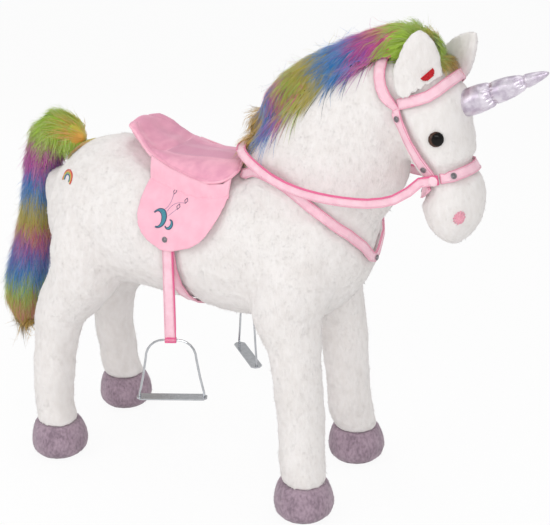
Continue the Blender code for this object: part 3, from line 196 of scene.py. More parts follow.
def normals_of(piece):
    """The normals at the mesh's points."""
    return read_vectors(piece, "normal")


def place_points(piece, points):
    """Puts an array of points back in the mesh."""
    piece.data.vertices.foreach_set("co", np.asarray(points, float).ravel())
    piece.data.update()


def write_attribute(piece, name, values):
    """One number for each point, which a material reads by this name."""
    layer = piece.data.attributes.new(name, "FLOAT", "POINT")
    layer.data.foreach_set("value", np.asarray(values, float).ravel())


def tree_of(*pieces):
    """A search tree over the faces of objects."""
    form = bmesh.new()
    for piece in pieces:
        form.from_mesh(piece.data)
    tree = BVHTree.FromBMesh(form)
    form.free()
    return tree


def tree_of_nodes(*nodes):
    """A search tree over CAD nodes."""
    pressing = copy_of("pressing", *nodes)
    tree = tree_of(pressing)
    bpy.data.objects.remove(pressing)
    return tree


def lumps(piece, size, height, seed):
    """Soft stuffing lumps: each point moves along its normal by smooth noise."""
    points = points_of(piece)
    normals = normals_of(piece)
    shift = Vector((seed * 7.3, seed * 3.1, seed * 5.7))
    moves = [noise.noise(Vector(p) / size + shift) for p in points]
    place_points(piece, points + normals * (np.array(moves) * height)[:, None])


def smooth_step(value, low, high):
    """0 below low, 1 above high, and a soft rise between."""
    rise = min(1.0, max(0.0, (value - low) / (high - low)))
    return rise * rise * (3 - 2 * rise)


# Shader maths

class Wire:
    """A socket of one material that Python's operators can work on."""

    def __init__(self, finish, socket):
        self.finish = finish
        self.socket = socket

    def work(self, operation, first, second=0.0):
        return self.finish.node("ShaderNodeMath", {"operation": operation}, {0: first, 1: second})

    def __add__(self, other):
        return self.work("ADD", self, other)

    __radd__ = __add__

    def __mul__(self, other):
        return self.work("MULTIPLY", self, other)

    __rmul__ = __mul__

    def __sub__(self, other):
        return self.work("SUBTRACT", self, other)

    def __rsub__(self, other):
        return self.work("SUBTRACT", other, self)

    def size(self):
        return self.work("ABSOLUTE", self)


class Finish:
    """One material, made by naming its nodes and what goes into their sockets."""

    def __init__(self, name, **constants):
        self.material = bpy.data.materials.new(name)
        self.material.use_nodes = True
        self.tree = self.material.node_tree
        self.shader = self.tree.nodes["Principled BSDF"]
        for key, value in constants.items():
            self.shader.inputs[key.replace("_", " ")].default_value = value

    def node(self, kind, settings=None, sockets=None, output=0):
        made = self.tree.nodes.new(kind)
        for key, value in (settings or {}).items():
            if key == "stops":
                while len(made.color_ramp.elements) > 1:
                    made.color_ramp.elements.remove(made.color_ramp.elements[-1])
                made.color_ramp.elements[0].position, made.color_ramp.elements[0].color = value[0]
                for place, colour in value[1:]:
                    made.color_ramp.elements.new(place).color = colour
            else:
                setattr(made, key, value)
        for key, value in (sockets or {}).items():
            self.feed(made.inputs[key], value)
        return Wire(self, made.outputs[output])

    def feed(self, socket, value):
        if isinstance(value, Wire):
            self.tree.links.new(value.socket, socket)
        else:
            socket.default_value = value

    def dress(self, colour, rough, normal=None):
        """Feeds what changes over the surface, and gives the material."""
        self.feed(self.shader.inputs["Base Color"], colour)
        self.feed(self.shader.inputs["Roughness"], rough)
        if normal is not None:
            self.feed(self.shader.inputs["Normal"], normal)
        return self.material

    def place(self, scale=(1, 1, 1)):
        """Object coordinates, scaled."""
        where = self.node("ShaderNodeTexCoord", output=3)
        return self.node("ShaderNodeMapping", {}, {"Vector": where, "Scale": scale})

    def grain(self, scale, detail=2.0, stretch=(1, 1, 1)):
        """Noise from 0 to 1, finer with a larger scale."""
        sockets = {"Vector": self.place(stretch), "Scale": scale, "Detail": detail}
        return self.node("ShaderNodeTexNoise", {}, sockets)

    def attribute(self, name):
        return self.node("ShaderNodeAttribute", {"attribute_name": name}, output=2)

    def mix(self, share, first, second):
        sockets = {0: share, 6: first, 7: second}
        return self.node("ShaderNodeMix", {"data_type": "RGBA"}, sockets, output=2)

    def ramp(self, share, stops):
        return self.node("ShaderNodeValToRGB", {"stops": stops}, {"Fac": share})

    def band(self, value, low, high):
        """0 at low and 1 at high."""
        return self.node("ShaderNodeMapRange", {}, {"Value": value, "From Min": low, "From Max": high})

    def bump(self, height, distance, strength=1.0, under=None):
        sockets = {"Height": height, "Distance": distance, "Strength": strength}
        if under is not None:
            sockets["Normal"] = under
        return self.node("ShaderNodeBump", {}, sockets)


def tone(red, green, blue):
    """A screen colour, 0 to 255, as the renderer's linear colour."""
    parts = []
    for part in (red, green, blue):
        share = part / 255
        parts.append(share / 12.92 if share <= 0.04045 else ((share + 0.055) / 1.055) ** 2.4)
    return (parts[0], parts[1], parts[2], 1.0)


# Finishes

def faded(colour, share):
    """The same colour, darker."""
    return tuple(part * share for part in colour)


def plush_finish(name, light, deep, pile_scale, sheen):
    """Short pile cloth: painted shade darkens the low places of the clump bumps, mixed with random swirls
    of tone, over a bump of fine fibres.
    """
    cloth = Finish(name, Sheen_Weight=sheen, Sheen_Roughness=0.5, Specular_IOR_Level=0.15)
    clumps = cloth.grain(pile_scale, 3.0, (1, 1, 0.55))
    swirls = cloth.grain(pile_scale * 0.16)
    fibres = cloth.grain(pile_scale * 5, 2.0, (1, 1, 0.25))
    # Painted shade: the deep tone goes where the clump bumps are low, in the pile's hollows; the swirls add
    # random tone.
    shade = cloth.band(clumps * 0.6 + swirls * 0.4, 0.36, 0.6)
    soft = cloth.bump(clumps, 0.003, 0.3)
    return cloth.dress(
        cloth.mix(shade, deep, light),
        cloth.band(fibres, 0.0, 1.0) * 0.1 + 0.86,
        cloth.bump(fibres, 0.0012, 0.5, soft),
    )


def hair_finish(name, stops):
    """Dyed long pile: the dye bands follow the cloth, each lock a little lighter or darker."""
    hair = Finish(name, Sheen_Weight=0.25, Sheen_Roughness=0.4, Specular_IOR_Level=0.35)
    dye = hair.ramp(hair.attribute("band"), stops)
    lock = hair.attribute("lock")
    tip = hair.attribute("tip")
    pale = hair.mix(hair.band(lock, 0.4, 1.0) * 0.5 * tip, dye, tone(236, 214, 200))
    dark = hair.mix(hair.band(lock, 0.35, 0.0) * 0.3, pale, tone(130, 100, 84))
    streaks = hair.grain(900, 2.0, (1, 1, 0.3))
    return hair.dress(dark, streaks * 0.2 + 0.45, hair.bump(streaks, 0.0004, 0.4))


def velvet_finish(name, light, deep):
    """Short velvet: brushed patches, and a sheen at grazing angles."""
    velvet = Finish(name, Sheen_Weight=0.55, Sheen_Roughness=0.35, Specular_IOR_Level=0.2)
    velvet.shader.inputs["Sheen Tint"].default_value = tone(255, 225, 235)
    brushed = velvet.grain(38, 3.0, (1, 0.6, 1))
    nap = velvet.grain(1400)
    base = velvet.mix(velvet.band(brushed, 0.35, 0.65), deep, light)
    return velvet.dress(
        # Painted shade: a point attribute mixes the velvet towards a darker, greyer pink.
        velvet.mix(velvet.attribute("nap") * 0.75, base, tone(206, 148, 172)),
        nap * 0.15 + 0.78,
        velvet.bump(nap, 0.0004, 0.5, velvet.bump(velvet.grain(22), 0.004, 0.35)),
    )


def webbing_finish(name, light, deep):
    """Woven ribbon: fine ribs across, a stitched line beside each edge."""
    tape = Finish(name, Sheen_Weight=0.35, Sheen_Roughness=0.4, Specular_IOR_Level=0.3)
    weave = {"Vector": tape.place(), "Scale": 900.0, "Randomness": 0.35}
    ribs = tape.node("ShaderNodeTexVoronoi", {}, weave)
    stitch = tape.band((tape.attribute("rim") - SEAM_INSET).size(), 0.0007, 0.0003)
    seam = stitch * tape.band(tape.grain(420, 0.0), 0.47, 0.53)
    base = tape.mix(tape.band(tape.grain(60, 3.0), 0.35, 0.65), deep, light)
    return tape.dress(
        tape.mix(seam * 0.6, base, tone(255, 214, 224)),
        ribs * 0.3 + 0.6,
        tape.bump(ribs, 0.0003, 0.5, tape.bump(seam, 0.0006, 0.8)),
    )


def satin_finish(name):
    """Metallic cloth of the horn, with painted shade: darker and more lilac where its cloudy bumps are low.
    """
    satin = Finish(name, Metallic=0.8, Sheen_Weight=0.1)
    cloud = satin.grain(70, 3.0)
    threads = satin.grain(1600, 1.0, (0.3, 1, 1))
    return satin.dress(
        # Painted shade: the darker lilac tone goes in the low places of the cloud bump.
        satin.mix(satin.band(cloud, 0.35, 0.65), tone(190, 178, 195), tone(228, 221, 231)),
        satin.band(threads, 0.0, 1.0) * 0.12 + 0.30,
        satin.bump(threads, 0.0002, 0.3, satin.bump(cloud, 0.0008, 0.3)),
    )


def metal_finish(name, colour, rough):
    """Bright metal with fine drawing marks and small blemishes."""
    metal = Finish(name, Metallic=1.0)
    marks = metal.grain(260, 4.0, (1, 1, 0.2))
    spots = metal.band(metal.grain(90, 3.0), 0.3, 0.8)
    return metal.dress(
        metal.mix(spots, colour, faded(colour, 0.8)),
        metal.band(marks, 0.2, 0.8) * 0.14 + rough,
        metal.bump(marks, 0.0002, 0.3),
    )


def moulded_finish(name, colour, rough):
    """Moulded plastic with a faint cloudiness."""
    plastic = Finish(name, Specular_IOR_Level=0.5, Coat_Roughness=0.1)
    cloud = plastic.grain(160, 3.0)
    return plastic.dress(
        plastic.mix(cloud * 0.25, colour, faded(colour, 0.7)),
        cloud * 0.1 + rough,
        plastic.bump(plastic.grain(900), 0.0001, 0.3),
    )


def board_finish(name):
    """Plywood: long wandering grain."""
    board = Finish(name, Specular_IOR_Level=0.3)
    grain = board.grain(40, 4.0, (0.15, 1, 1))
    wood = board.mix(grain, tone(150, 112, 74), tone(206, 172, 126))
    return board.dress(wood, grain * 0.2 + 0.6, board.bump(grain, 0.0004, 0.5))


def thread_finish(name, colour):
    """Embroidery thread: fine shiny strands."""
    thread = Finish(name, Sheen_Weight=0.3, Specular_IOR_Level=0.5)
    twist = thread.grain(1800, 1.0, (1, 1, 0.2))
    dye = thread.mix(twist * 0.5, colour, faded(colour, 0.55))
    return thread.dress(dye, twist * 0.2 + 0.4, thread.bump(twist, 0.0003, 0.6))


SEAM_INSET = 0.0032
white_plush = plush_finish("white_plush", tone(236, 232, 230), tone(229, 224, 221), 90, 0.2)
mauve_plush = plush_finish("mauve_plush", tone(176, 154, 168), tone(138, 119, 132), 190, 0.3)
pink_velvet = velvet_finish("pink_velvet", tone(248, 192, 208), tone(244, 182, 200))
# The seat's velvet is a darker copy of the pink velvet: painted shade for the seat seen at a grazing angle.
seat_velvet_painted_shade = velvet_finish("seat_velvet_painted_shade", tone(243, 178, 198), tone(228, 160, 184))
pink_webbing = webbing_finish("pink_webbing", tone(249, 208, 220), tone(243, 194, 209))
pink_binding = thread_finish("pink_binding", tone(246, 146, 180))
hot_binding = thread_finish("hot_binding", tone(244, 104, 156))
pale_binding = thread_finish("pale_binding", tone(250, 178, 200))
horn_cloth = satin_finish("horn_cloth")
rivet_metal = metal_finish("rivet_metal", tone(142, 138, 142), 0.24)
stirrup_steel = metal_finish("stirrup_steel", tone(196, 198, 202), 0.16)
frame_steel = metal_finish("frame_steel", tone(120, 122, 126), 0.38)
boss_plastic = moulded_finish("boss_plastic", tone(250, 214, 224), 0.35)
washer_plastic = moulded_finish("washer_plastic", tone(236, 232, 226), 0.4)
plywood = board_finish("plywood")
patch_pink = plush_finish("patch_pink", tone(250, 186, 200), tone(232, 150, 172), 700, 0.3)
red_felt = plush_finish("red_felt", tone(214, 40, 48), tone(168, 20, 34), 600, 0.2)
navy_thread = thread_finish("navy_thread", tone(44, 48, 92))
lilac_thread = thread_finish("lilac_thread", tone(140, 110, 160))
teal_thread = thread_finish("teal_thread", tone(70, 160, 180))

LIME = tone(166, 204, 64)
ORANGE = tone(222, 164, 70)
ROSE = tone(218, 96, 126)
MAGENTA = tone(190, 72, 164)
VIOLET = tone(134, 92, 190)
BLUE = tone(36, 134, 206)
OLIVE = tone(186, 174, 66)
MUSTARD = tone(208, 168, 66)
mane_hair = hair_finish(
    "mane_hair",
    (
        (0.0, ORANGE), (0.10, ORANGE), (0.14, LIME), (0.275, LIME), (0.295, ROSE), (0.32, ROSE),
        (0.345, MAGENTA), (0.405, MAGENTA), (0.43, VIOLET), (0.455, BLUE), (0.52, BLUE), (0.55, OLIVE),
        (0.62, OLIVE), (0.64, LIME), (0.66, LIME), (0.68, ROSE), (0.70, MAGENTA), (0.725, VIOLET),
        (0.75, BLUE), (0.785, BLUE), (0.80, OLIVE), (0.83, MUSTARD), (0.95, MUSTARD), (1.0, ORANGE),
    ),
)
tail_hair = hair_finish(
    "tail_hair",
    (
        (0.0, ORANGE), (0.07, ORANGE), (0.10, LIME), (0.235, LIME), (0.265, MAGENTA), (0.345, MAGENTA),
        (0.38, VIOLET), (0.42, BLUE), (0.47, BLUE), (0.5, OLIVE), (0.57, OLIVE), (0.61, ROSE),
        (0.67, VIOLET), (0.73, BLUE), (0.78, BLUE), (0.82, LIME), (0.88, OLIVE), (0.92, ROSE),
        (0.94, OLIVE), (1.0, MUSTARD),
    ),
)


# Camera, floor and light

CAMERA_PLACE = Vector((1.238, -2.318, 1.471))
CAMERA_BACK = Vector((0.4162, -0.8375, 0.3540)).normalized()
CAMERA_LENS = 86.05
SKY_STRENGTH = 0.67
FLOOR_WHITE = 0.92
camera_data = bpy.data.cameras.new("camera")
camera_data.lens = CAMERA_LENS
camera_data.sensor_width = 36
camera = new_object("camera", camera_data)
camera_right = UP.cross(CAMERA_BACK).normalized()
camera_up = CAMERA_BACK.cross(camera_right)
camera.matrix_world = (
    Matrix.Translation(CAMERA_PLACE)
    @ Matrix((camera_right, camera_up, CAMERA_BACK)).transposed().to_4x4()
)
bpy.context.scene.camera = camera

deselect_all()
bpy.ops.mesh.primitive_plane_add(size=16, location=(0, 0, -0.0005))
floor = bpy.context.active_object
floor.name = "floor"
floor_finish = bpy.data.materials.new("floor_paper")
floor_finish.use_nodes = True
floor.data.materials.append(floor_finish)
paper = floor_finish.node_tree.nodes["Principled BSDF"]
paper.inputs["Base Color"].default_value = (0.9, 0.9, 0.9, 1)
paper.inputs["Roughness"].default_value = 0.9

world = bpy.data.worlds.new("studio")
world.use_nodes = True
bpy.context.scene.world = world
sky = world.node_tree.nodes["Background"]
sky.inputs["Color"].default_value = (1, 1, 1, 1)
sky.inputs["Strength"].default_value = SKY_STRENGTH


def white_to_camera(tree, lit, white_kind, output, share):
    """What the camera sees is nearly plain white, and what lights the object stays as it is."""
    white = tree.nodes.new(white_kind)
    white.inputs["Color"].default_value = (1, 1, 1, 1)
    white.inputs["Strength"].default_value = 1.0
    rays = tree.nodes.new("ShaderNodeLightPath")
    seen = tree.nodes.new("ShaderNodeMath")
    seen.operation = "MAXIMUM"
    part = tree.nodes.new("ShaderNodeMath")
    part.operation = "MULTIPLY"
    part.inputs[1].default_value = share
    blend = tree.nodes.new("ShaderNodeMixShader")
    tree.links.new(rays.outputs["Is Camera Ray"], seen.inputs[0])
    if share < 1:
        tree.links.new(rays.outputs["Is Glossy Ray"], seen.inputs[1])
    else:
        seen.inputs[1].default_value = 0.0
    for start, end in (
        (seen.outputs[0], part.inputs[0]), (part.outputs[0], blend.inputs[0]),
        (lit.outputs[0], blend.inputs[1]), (white.outputs[0], blend.inputs[2]),
        (blend.outputs[0], tree.nodes[output].inputs["Surface"]),
    ):
        tree.links.new(start, end)


white_to_camera(floor_finish.node_tree, paper, "ShaderNodeEmission", "Material Output", FLOOR_WHITE)
white_to_camera(world.node_tree, sky, "ShaderNodeBackground", "World Output", 1.0)


def lamp(name, place, target, size, power):
    """A square soft box that looks at a point."""
    data = bpy.data.lights.new(name, "AREA")
    data.shape = "SQUARE"
    data.size = size
    data.energy = power
    box = new_object(name, data)
    box.location = place
    box.rotation_euler = (Vector(place) - Vector(target)).to_track_quat("Z", "Y").to_euler()


lamp("key_box", (1.9, -2.9, 2.1), (0, 0, 0.5), 1.8, 33)
lamp("fill_box", (-1.6, -2.4, 1.7), (0, 0, 0.5), 1.8, 18.5)
lamp("spark_box", (0.65, -2.3, 2.1), (0.5, -0.08, 0.86), 0.16, 1.6)
lamp("top_box", (0.2, 0.3, 3.0), (0, 0, 0.5), 2.0, 9)
lamp("rear_box", (-2.4, 1.6, 1.8), (0, 0, 0.5), 1.6, 9)
bpy.context.scene.view_settings.view_transform = "Standard"


# White coat

HEAD_START = 0.37
COAT_NODES = (
    "trunk", "neck", "head", "leg_front_right", "leg_front_left", "leg_rear_right", "leg_rear_left",
)
coat = skin_of("plush_coat", COAT_NODES, 0.006, 9)
for size, height, seed in ((0.10, 0.0035, 1), (0.030, 0.0016, 2), (0.012, 0.0007, 3)):
    lumps(coat, size, height, seed)
coat_points = points_of(coat)
RUMP_CORNER = np.array((-0.455, -0.03, 0.690))
RUMP_PULL = 0.017
for mirror in (1, -1):
    gap = np.linalg.norm((coat_points - RUMP_CORNER * (1, mirror, 1)) / (0.06, 0.11, 0.055), axis=1)
    pull = RUMP_PULL * np.exp(-gap ** 2)
    coat_points += np.outer(pull, (0.8, 0, -0.5)) * 1.1
# Start, end, width and depth of each crease, made on both sides.
COAT_FOLDS = (
    ((-0.255, -0.17, 0.500), (-0.140, -0.185, 0.470), 0.010, 0.0035),
    ((-0.235, -0.17, 0.470), (-0.125, -0.180, 0.435), 0.010, 0.0035),
    ((-0.215, -0.165, 0.555), (-0.165, -0.185, 0.500), 0.009, 0.0030),
    ((0.345, -0.075, 0.830), (0.395, -0.070, 0.770), 0.012, 0.0040),
    ((0.300, -0.085, 0.800), (0.385, -0.070, 0.735), 0.010, 0.0030),
    ((0.230, -0.120, 0.420), (0.300, -0.150, 0.500), 0.012, 0.0040),
    ((-0.300, -0.150, 0.330), (-0.190, -0.150, 0.400), 0.012, 0.0035),
    ((0.520, -0.045, 0.700), (0.560, -0.050, 0.705), 0.007, 0.0030),
)
for mirror in (1, -1):
    for start, end, width, depth in COAT_FOLDS:
        start, end = (np.array(p) * (1, mirror, 1) for p in (start, end))
        along = np.clip((coat_points - start) @ (end - start) / ((end - start) @ (end - start)), 0, 1)
        fade = np.sin(np.pi * (0.1 + 0.8 * along))
        gap = np.linalg.norm(coat_points - start - np.outer(along, end - start), axis=1)
        coat_points -= normals_of(coat) * (depth * fade * np.exp(-(gap / width) ** 2))[:, None]
place_points(coat, coat_points)
STRAP_NODES = ("crown_strap", "browband", "noseband", "chin_strap", "breast_strap", "girth")
SADDLE_NODES = ("saddle_seat", "flap_right", "flap_left")


def press_in(cover, nodes, reach, depth):
    """The plush gives way under what lies on it, most where it touches."""
    tree = tree_of_nodes(*nodes)
    points = points_of(cover)
    normals = normals_of(cover)
    for index, point in enumerate(points):
        away = tree.find_nearest(Vector(point), reach)[3]
        if away is not None:
            points[index] = point - normals[index] * depth * (1 - away / reach)
    place_points(cover, points)


press_in(coat, STRAP_NODES, 0.016, 0.0065)
press_in(coat, SADDLE_NODES, 0.015, 0.004)
press_tree = tree_of_nodes(*STRAP_NODES, *SADDLE_NODES)
coat_tree = tree_of(coat)
finish_piece(coat, "body", white_plush, COAT_NODES)


def spots_on(cover, draws, count, weigh):
    """Random places on an object's faces, with the normals there."""
    mesh = cover.data
    mesh.calc_loop_triangles()
    corners = np.zeros(len(mesh.loop_triangles) * 3, int)
    mesh.loop_triangles.foreach_get("vertices", corners)
    corners = corners.reshape(-1, 3)
    points = points_of(cover)
    a, b, c = (points[corners[:, k]] for k in range(3))
    area = np.linalg.norm(np.cross(b - a, c - a), axis=1)
    picked = corners[draws.choice(len(corners), count, p=area / area.sum())]
    weights = np.stack(weigh(draws.random(count), draws.random(count)), 1)[:, :, None]
    root = (points[picked] * weights).sum(1)
    out = (normals_of(cover)[picked] * weights).sum(1)
    return root, out / np.linalg.norm(out, axis=1)[:, None]


def folded(u, v):
    """Corner weights of a place in a triangle, from a square folded over."""
    over = u + v > 1
    u[over], v[over] = 1 - u[over], 1 - v[over]
    return 1 - u - v, u, v


def rooted(u, v):
    """Corner weights of a place in a triangle, by a square root."""
    u = np.sqrt(u)
    return 1 - u, u * (1 - v), u * v


def column(values):
    """Numbers that multiply the rows of an array."""
    return values[:, None]


def unit(rows):
    """Rows of length 1."""
    return rows / (column(np.linalg.norm(rows, axis=1)) + 1e-9)


TUFT_FACES = ((0, 3, 1), (1, 3, 2), (2, 3, 0), (0, 1, 2))
TUFT_ROOT = 0.0012
TUFT_WIDTH = 0.0008
STANDING_SHARE = 0.12
STANDING_LIFT = 0.55
PILE_GAP = 0.0035


def pile(name, cover, count, length, seed, flow, keep=None, finish=white_plush):
    """Short tufts of pile: each a closed spike with its foot in the cloth, lying along the flow."""
    draws = np.random.default_rng(seed)
    root, out = spots_on(cover, draws, count, folded)
    if keep is not None:
        stay = keep(root)
        root, out = root[stay], out[stay]
    many = len(root)
    lean = flow(root) + draws.normal(0, 0.55, root.shape)
    lean = unit(lean - out * column((lean * out).sum(1)))
    side = np.cross(out, lean)
    long = length * column(draws.uniform(0.6, 1.25, many))
    long[root[:, 0] > HEAD_START] *= 0.7
    lift = column(draws.uniform(0.04, 0.26, many))
    lift[draws.random(many) < STANDING_SHARE] = STANDING_LIFT
    foot = root - out * TUFT_ROOT
    wide = TUFT_WIDTH * column(draws.uniform(0.7, 1.3, many))
    tip = root + lean * long + out * long * lift
    free = np.array([press_tree.find_nearest(Vector(p), PILE_GAP)[0] is None for p in tip])
    foot, tip, side, out, lean, wide = (part[free] for part in (foot, tip, side, out, lean, wide))
    ring = np.stack([foot + side * wide, foot - side * wide, foot + out * wide * 0.6 + lean * wide, tip], 1)
    first = column(np.arange(len(foot)) * 4)
    faces = np.concatenate([first + np.array(f) for f in TUFT_FACES], 0)
    piece = mesh_piece(name, ring.reshape(-1, 3), faces)
    face_outwards(piece)
    finish_piece(piece, "body", finish)
    shade_like(piece, np.repeat(out, 4, axis=0))


def down_flow(root):
    """Pile that lies straight down."""
    return np.tile((0.0, 0.0, -1.0), (len(root), 1))


def coat_flow(root):
    """The way the white pile lies: down and back, and down and ahead on the head."""
    lie = np.tile((-0.5, 0.0, -0.9), (len(root), 1))
    lie[root[:, 0] > HEAD_START, 0] = 0.5
    return lie


PILE_COUNT = 48000
COAT_MIDDLE = -0.12
pile("coat_pile_rear", coat, PILE_COUNT, 0.0085, 11, coat_flow, lambda p: p[:, 0] < COAT_MIDDLE)
pile("coat_pile_front", coat, PILE_COUNT, 0.0085, 12, coat_flow, lambda p: p[:, 0] >= COAT_MIDDLE)


# Hooves and ears

def stuffed(name, node, finish, voxel, swell):
    """A stuffed cloth form in the place of its CAD node."""
    piece = skin_of(name, (node,), voxel, 6)
    place_points(piece, points_of(piece) + normals_of(piece) * swell)
    return finish_piece(piece, "body", finish, (node,))


for corner in ("front_right", "front_left", "rear_right", "rear_left"):
    hoof = stuffed("hoof_cover_" + corner, "hoof_" + corner, mauve_plush, 0.004, 0.0015)
    points = points_of(hoof)
    points[:, 2] = np.maximum(points[:, 2], 0.0)
    place_points(hoof, points)
    pile("hoof_pile_" + corner, hoof, 5000, 0.004, 21, down_flow, lambda p: p[:, 2] > 0.008,
         mauve_plush)


def shape_of_ear(ear):
    """The ear's points, its long axis, its flat axis, the places across and the share up the ear."""
    points = points_of(ear)
    middle = points.mean(0)
    axes = np.linalg.svd(points - middle, full_matrices=False)[2]
    along = axes[0] if axes[0][2] > 0 else -axes[0]
    height = (points - middle) @ along
    share_up = (height - height.min()) / (height.max() - height.min())
    return points, along, axes[1], (points - middle) @ axes[1], share_up


def fuller_ear(ear):
    """The ear's lower half bulges sideways, as its two cloth layers do."""
    points, along, flat_axis, across, share_up = shape_of_ear(ear)
    spread = 0.42 * np.clip(1 - share_up / 0.5, 0, 1) ** 0.8
    points += np.outer(across * spread, flat_axis)
    low_half = column(np.clip(1 - share_up / 0.35, 0, 1))
    place_points(ear, points + low_half * (-0.010 * along + np.array((0.004, -0.017, 0))))


def slimmer_ear(ear):
    """The far ear's upper half is narrow and leans ahead."""
    points, _, flat_axis, across, share_up = shape_of_ear(ear)
    tight = -0.28 * np.clip((share_up - 0.25) / 0.75, 0, 1)
    points += np.outer(across * tight, flat_axis)
    place_points(ear, points + np.outer(share_up ** 2, (0.008, 0, -0.004)))


def clear_of_coat(roots):
    """Leaves out the places that touch the coat."""
    return np.array([coat_tree.find_nearest(Vector(p), 0.008)[0] is None for p in roots])


for side, reshape in (("right", fuller_ear), ("left", slimmer_ear)):
    ear = stuffed("ear_cover_" + side, "ear_" + side, white_plush, 0.0025, 0.001)
    reshape(ear)
    pile("ear_pile_" + side, ear, 4500, 0.005, 31, down_flow, clear_of_coat)


# Long hair

HAIR_OF = {"mane": ("body", mane_hair), "tail": ("tail_hair", tail_hair)}
STRAND_ROOT = 0.003
STRAND_GAP = 0.0045
GUIDE_REACH = 0.03
strap_tree = tree_of_nodes("crown_strap")


def strand_path(root, out, guide, flow, long, raise_to, turn, steps, cling):
    """The places along one strand, from its root in the cloth to its free end."""
    spot = Vector(root) - out * STRAND_ROOT
    start = Vector(flow(spot))
    path = [spot.copy()]
    for step in range(1, steps):
        share_along = step / (steps - 1)
        heading = start * 0.35 + Vector(flow(spot)) * 0.65 + turn * (0.4 + share_along)
        normal = guide.find_nearest(spot)[1]
        if cling:
            heading = heading - normal * heading.dot(normal)
        heading.normalize()
        spot = spot + heading * long / (steps - 1)
        found, normal, _, away = guide.find_nearest(spot)
        if away < GUIDE_REACH:
            spot = spot.lerp(found + normal * (raise_to * share_along ** 1.4), cling)
        path.append(spot.copy())
    return path


def strands(name, guide, roots, flow, band, seed, length, width, reach=(0.002, 0.012),
            steps=6, stray=0.1, cling=0.7):
    """Long pile: tapered three-sided strands that follow the bunch's surface and lift off at their ends."""
    draws = np.random.default_rng(seed)
    places = []
    faces = []
    notes = []
    lit = []
    for root, out in roots:
        out = Vector(out)
        glow = Vector((out.x, out.y, max(out.z, 0.35))).normalized()
        usual = length(Vector(root) - out * STRAND_ROOT) if callable(length) else length
        long = usual * draws.uniform(0.55, 1.25)
        raise_to = draws.uniform(*reach)
        turn = Vector(draws.normal(0, stray, 3)) + noise.noise_vector(Vector(root) * 55) * 0.45
        path = strand_path(root, out, guide, flow, long, raise_to, turn, steps, cling)
        if any(strap_tree.find_nearest(spot, STRAND_GAP)[0] is not None for spot in path):
            continue
        value = band(Vector(root)) + draws.normal(0, 0.007)
        lock = draws.random()
        first = len(places)
        for index, point in enumerate(path[:-1]):
            share_along = index / (steps - 1)
            ahead = (path[index + 1] - path[max(index - 1, 0)]).normalized()
            sideways = ahead.cross(out).normalized()
            half = width * 0.5 * (1 - share_along) ** 0.55
            for part in (sideways * half, -sideways * half, sideways.cross(ahead) * half * 1.2):
                places.append(point + part)
                lit.append((part.normalized() * 0.5 + glow).normalized())
                notes.append((value, share_along, lock))
        places.append(path[-1])
        lit.append(glow)
        notes.append((value, 1.0, lock))
        for ring in range(steps - 2):
            low = first + ring * 3
            for k, n in ((0, 1), (1, 2), (2, 0)):
                faces.append((low + k, low + n, low + 3 + n, low + 3 + k))
        last = first + (steps - 2) * 3
        faces += [(last + k, last + (k + 1) % 3, last + 3) for k in range(3)]
        faces.append((first + 2, first + 1, first))
    piece = mesh_piece(name, places, faces)
    face_outwards(piece)
    bands, tips, locks = zip(*notes)
    write_attribute(piece, "band", np.clip(bands, 0, 1))
    write_attribute(piece, "tip", tips)
    write_attribute(piece, "lock", locks)
    body, finish = HAIR_OF["tail" if name.startswith("tail") else "mane"]
    finish_piece(piece, body, finish)
    shade_like(piece, lit)


def scatter(cover, count, seed, keep=None):
    """Points spread over an object, with their normals."""
    root, out = spots_on(cover, np.random.default_rng(seed), count, rooted)
    if keep is not None:
        stay = keep(root, out)
        root, out = root[stay], out[stay]
    return list(zip(root, out))


class Route:
    """A line through points in the upright middle plane, which says how far along it a place is."""

    def __init__(self, *points):
        self.points = np.array(points, float)
        steps = np.diff(self.points, axis=0)
        self.lengths = np.linalg.norm(steps, axis=1)
        self.starts = np.concatenate([[0], np.cumsum(self.lengths)])
        self.steps = steps / self.lengths[:, None]

    def find(self, place):
        spot = np.array((place[0], place[2]))
        along = np.clip(((spot - self.points[:-1]) * self.steps).sum(1), 0, self.lengths)
        near = self.points[:-1] + self.steps * along[:, None]
        best = int(np.argmin(np.linalg.norm(near - spot, axis=1)))
        return best, (self.starts[best] + along[best]) / self.starts[-1]

    def share(self, place):
        return self.find(place)[1]

    def heading(self, place):
        return self.steps[self.find(place)[0]]


MANE_ROUTE = Route(
    (0.475, 0.955), (0.427, 1.005), (0.347, 1.030), (0.299, 1.015), (0.259, 0.990), (0.209, 0.962),
    (0.166, 0.935), (0.128, 0.905), (0.093, 0.875), (0.054, 0.830), (0.015, 0.800), (-0.02, 0.755),
)
TAIL_ROUTE = Route(
    (-0.375, 0.735), (-0.42, 0.750), (-0.465, 0.745), (-0.505, 0.70), (-0.52, 0.64), (-0.535, 0.54),
    (-0.545, 0.44), (-0.57, 0.36), (-0.59, 0.29), (-0.60, 0.22),
)


def wander(place, scale):
    """Soft noise from about -1 to 1."""
    return noise.noise(Vector(place) * scale)


def mane_flow(place):
    """Mane hair runs back along the crest and falls over the sides."""
    ahead = MANE_ROUTE.heading(place)
    fall = -0.65 - 9.0 * abs(place[1])
    return Vector((ahead[0], place[1] * 6.0, ahead[1] + fall)).normalized()


def tail_flow(place):
    """Tail hair runs along the dock and falls."""
    ahead = TAIL_ROUTE.heading(place)
    return Vector((ahead[0], place[1] * 2.0, ahead[1] - 0.35)).normalized()


def tip_flow(place):
    """The last locks of the tail hang down and gather into points."""
    swing = noise.noise(Vector((place[0] * 40, place[1] * 40, 3.7))) * 0.7
    lean = -0.35 if place[0] < TIP_PARTING else 0.05
    return Vector((lean + swing * 0.5, swing * 0.6, -1.0)).normalized()


def flow_of(ahead, aside, up):
    """Hair that lies one way and spreads from the middle."""
    return lambda place: Vector((ahead, place[1] * aside, up)).normalized()


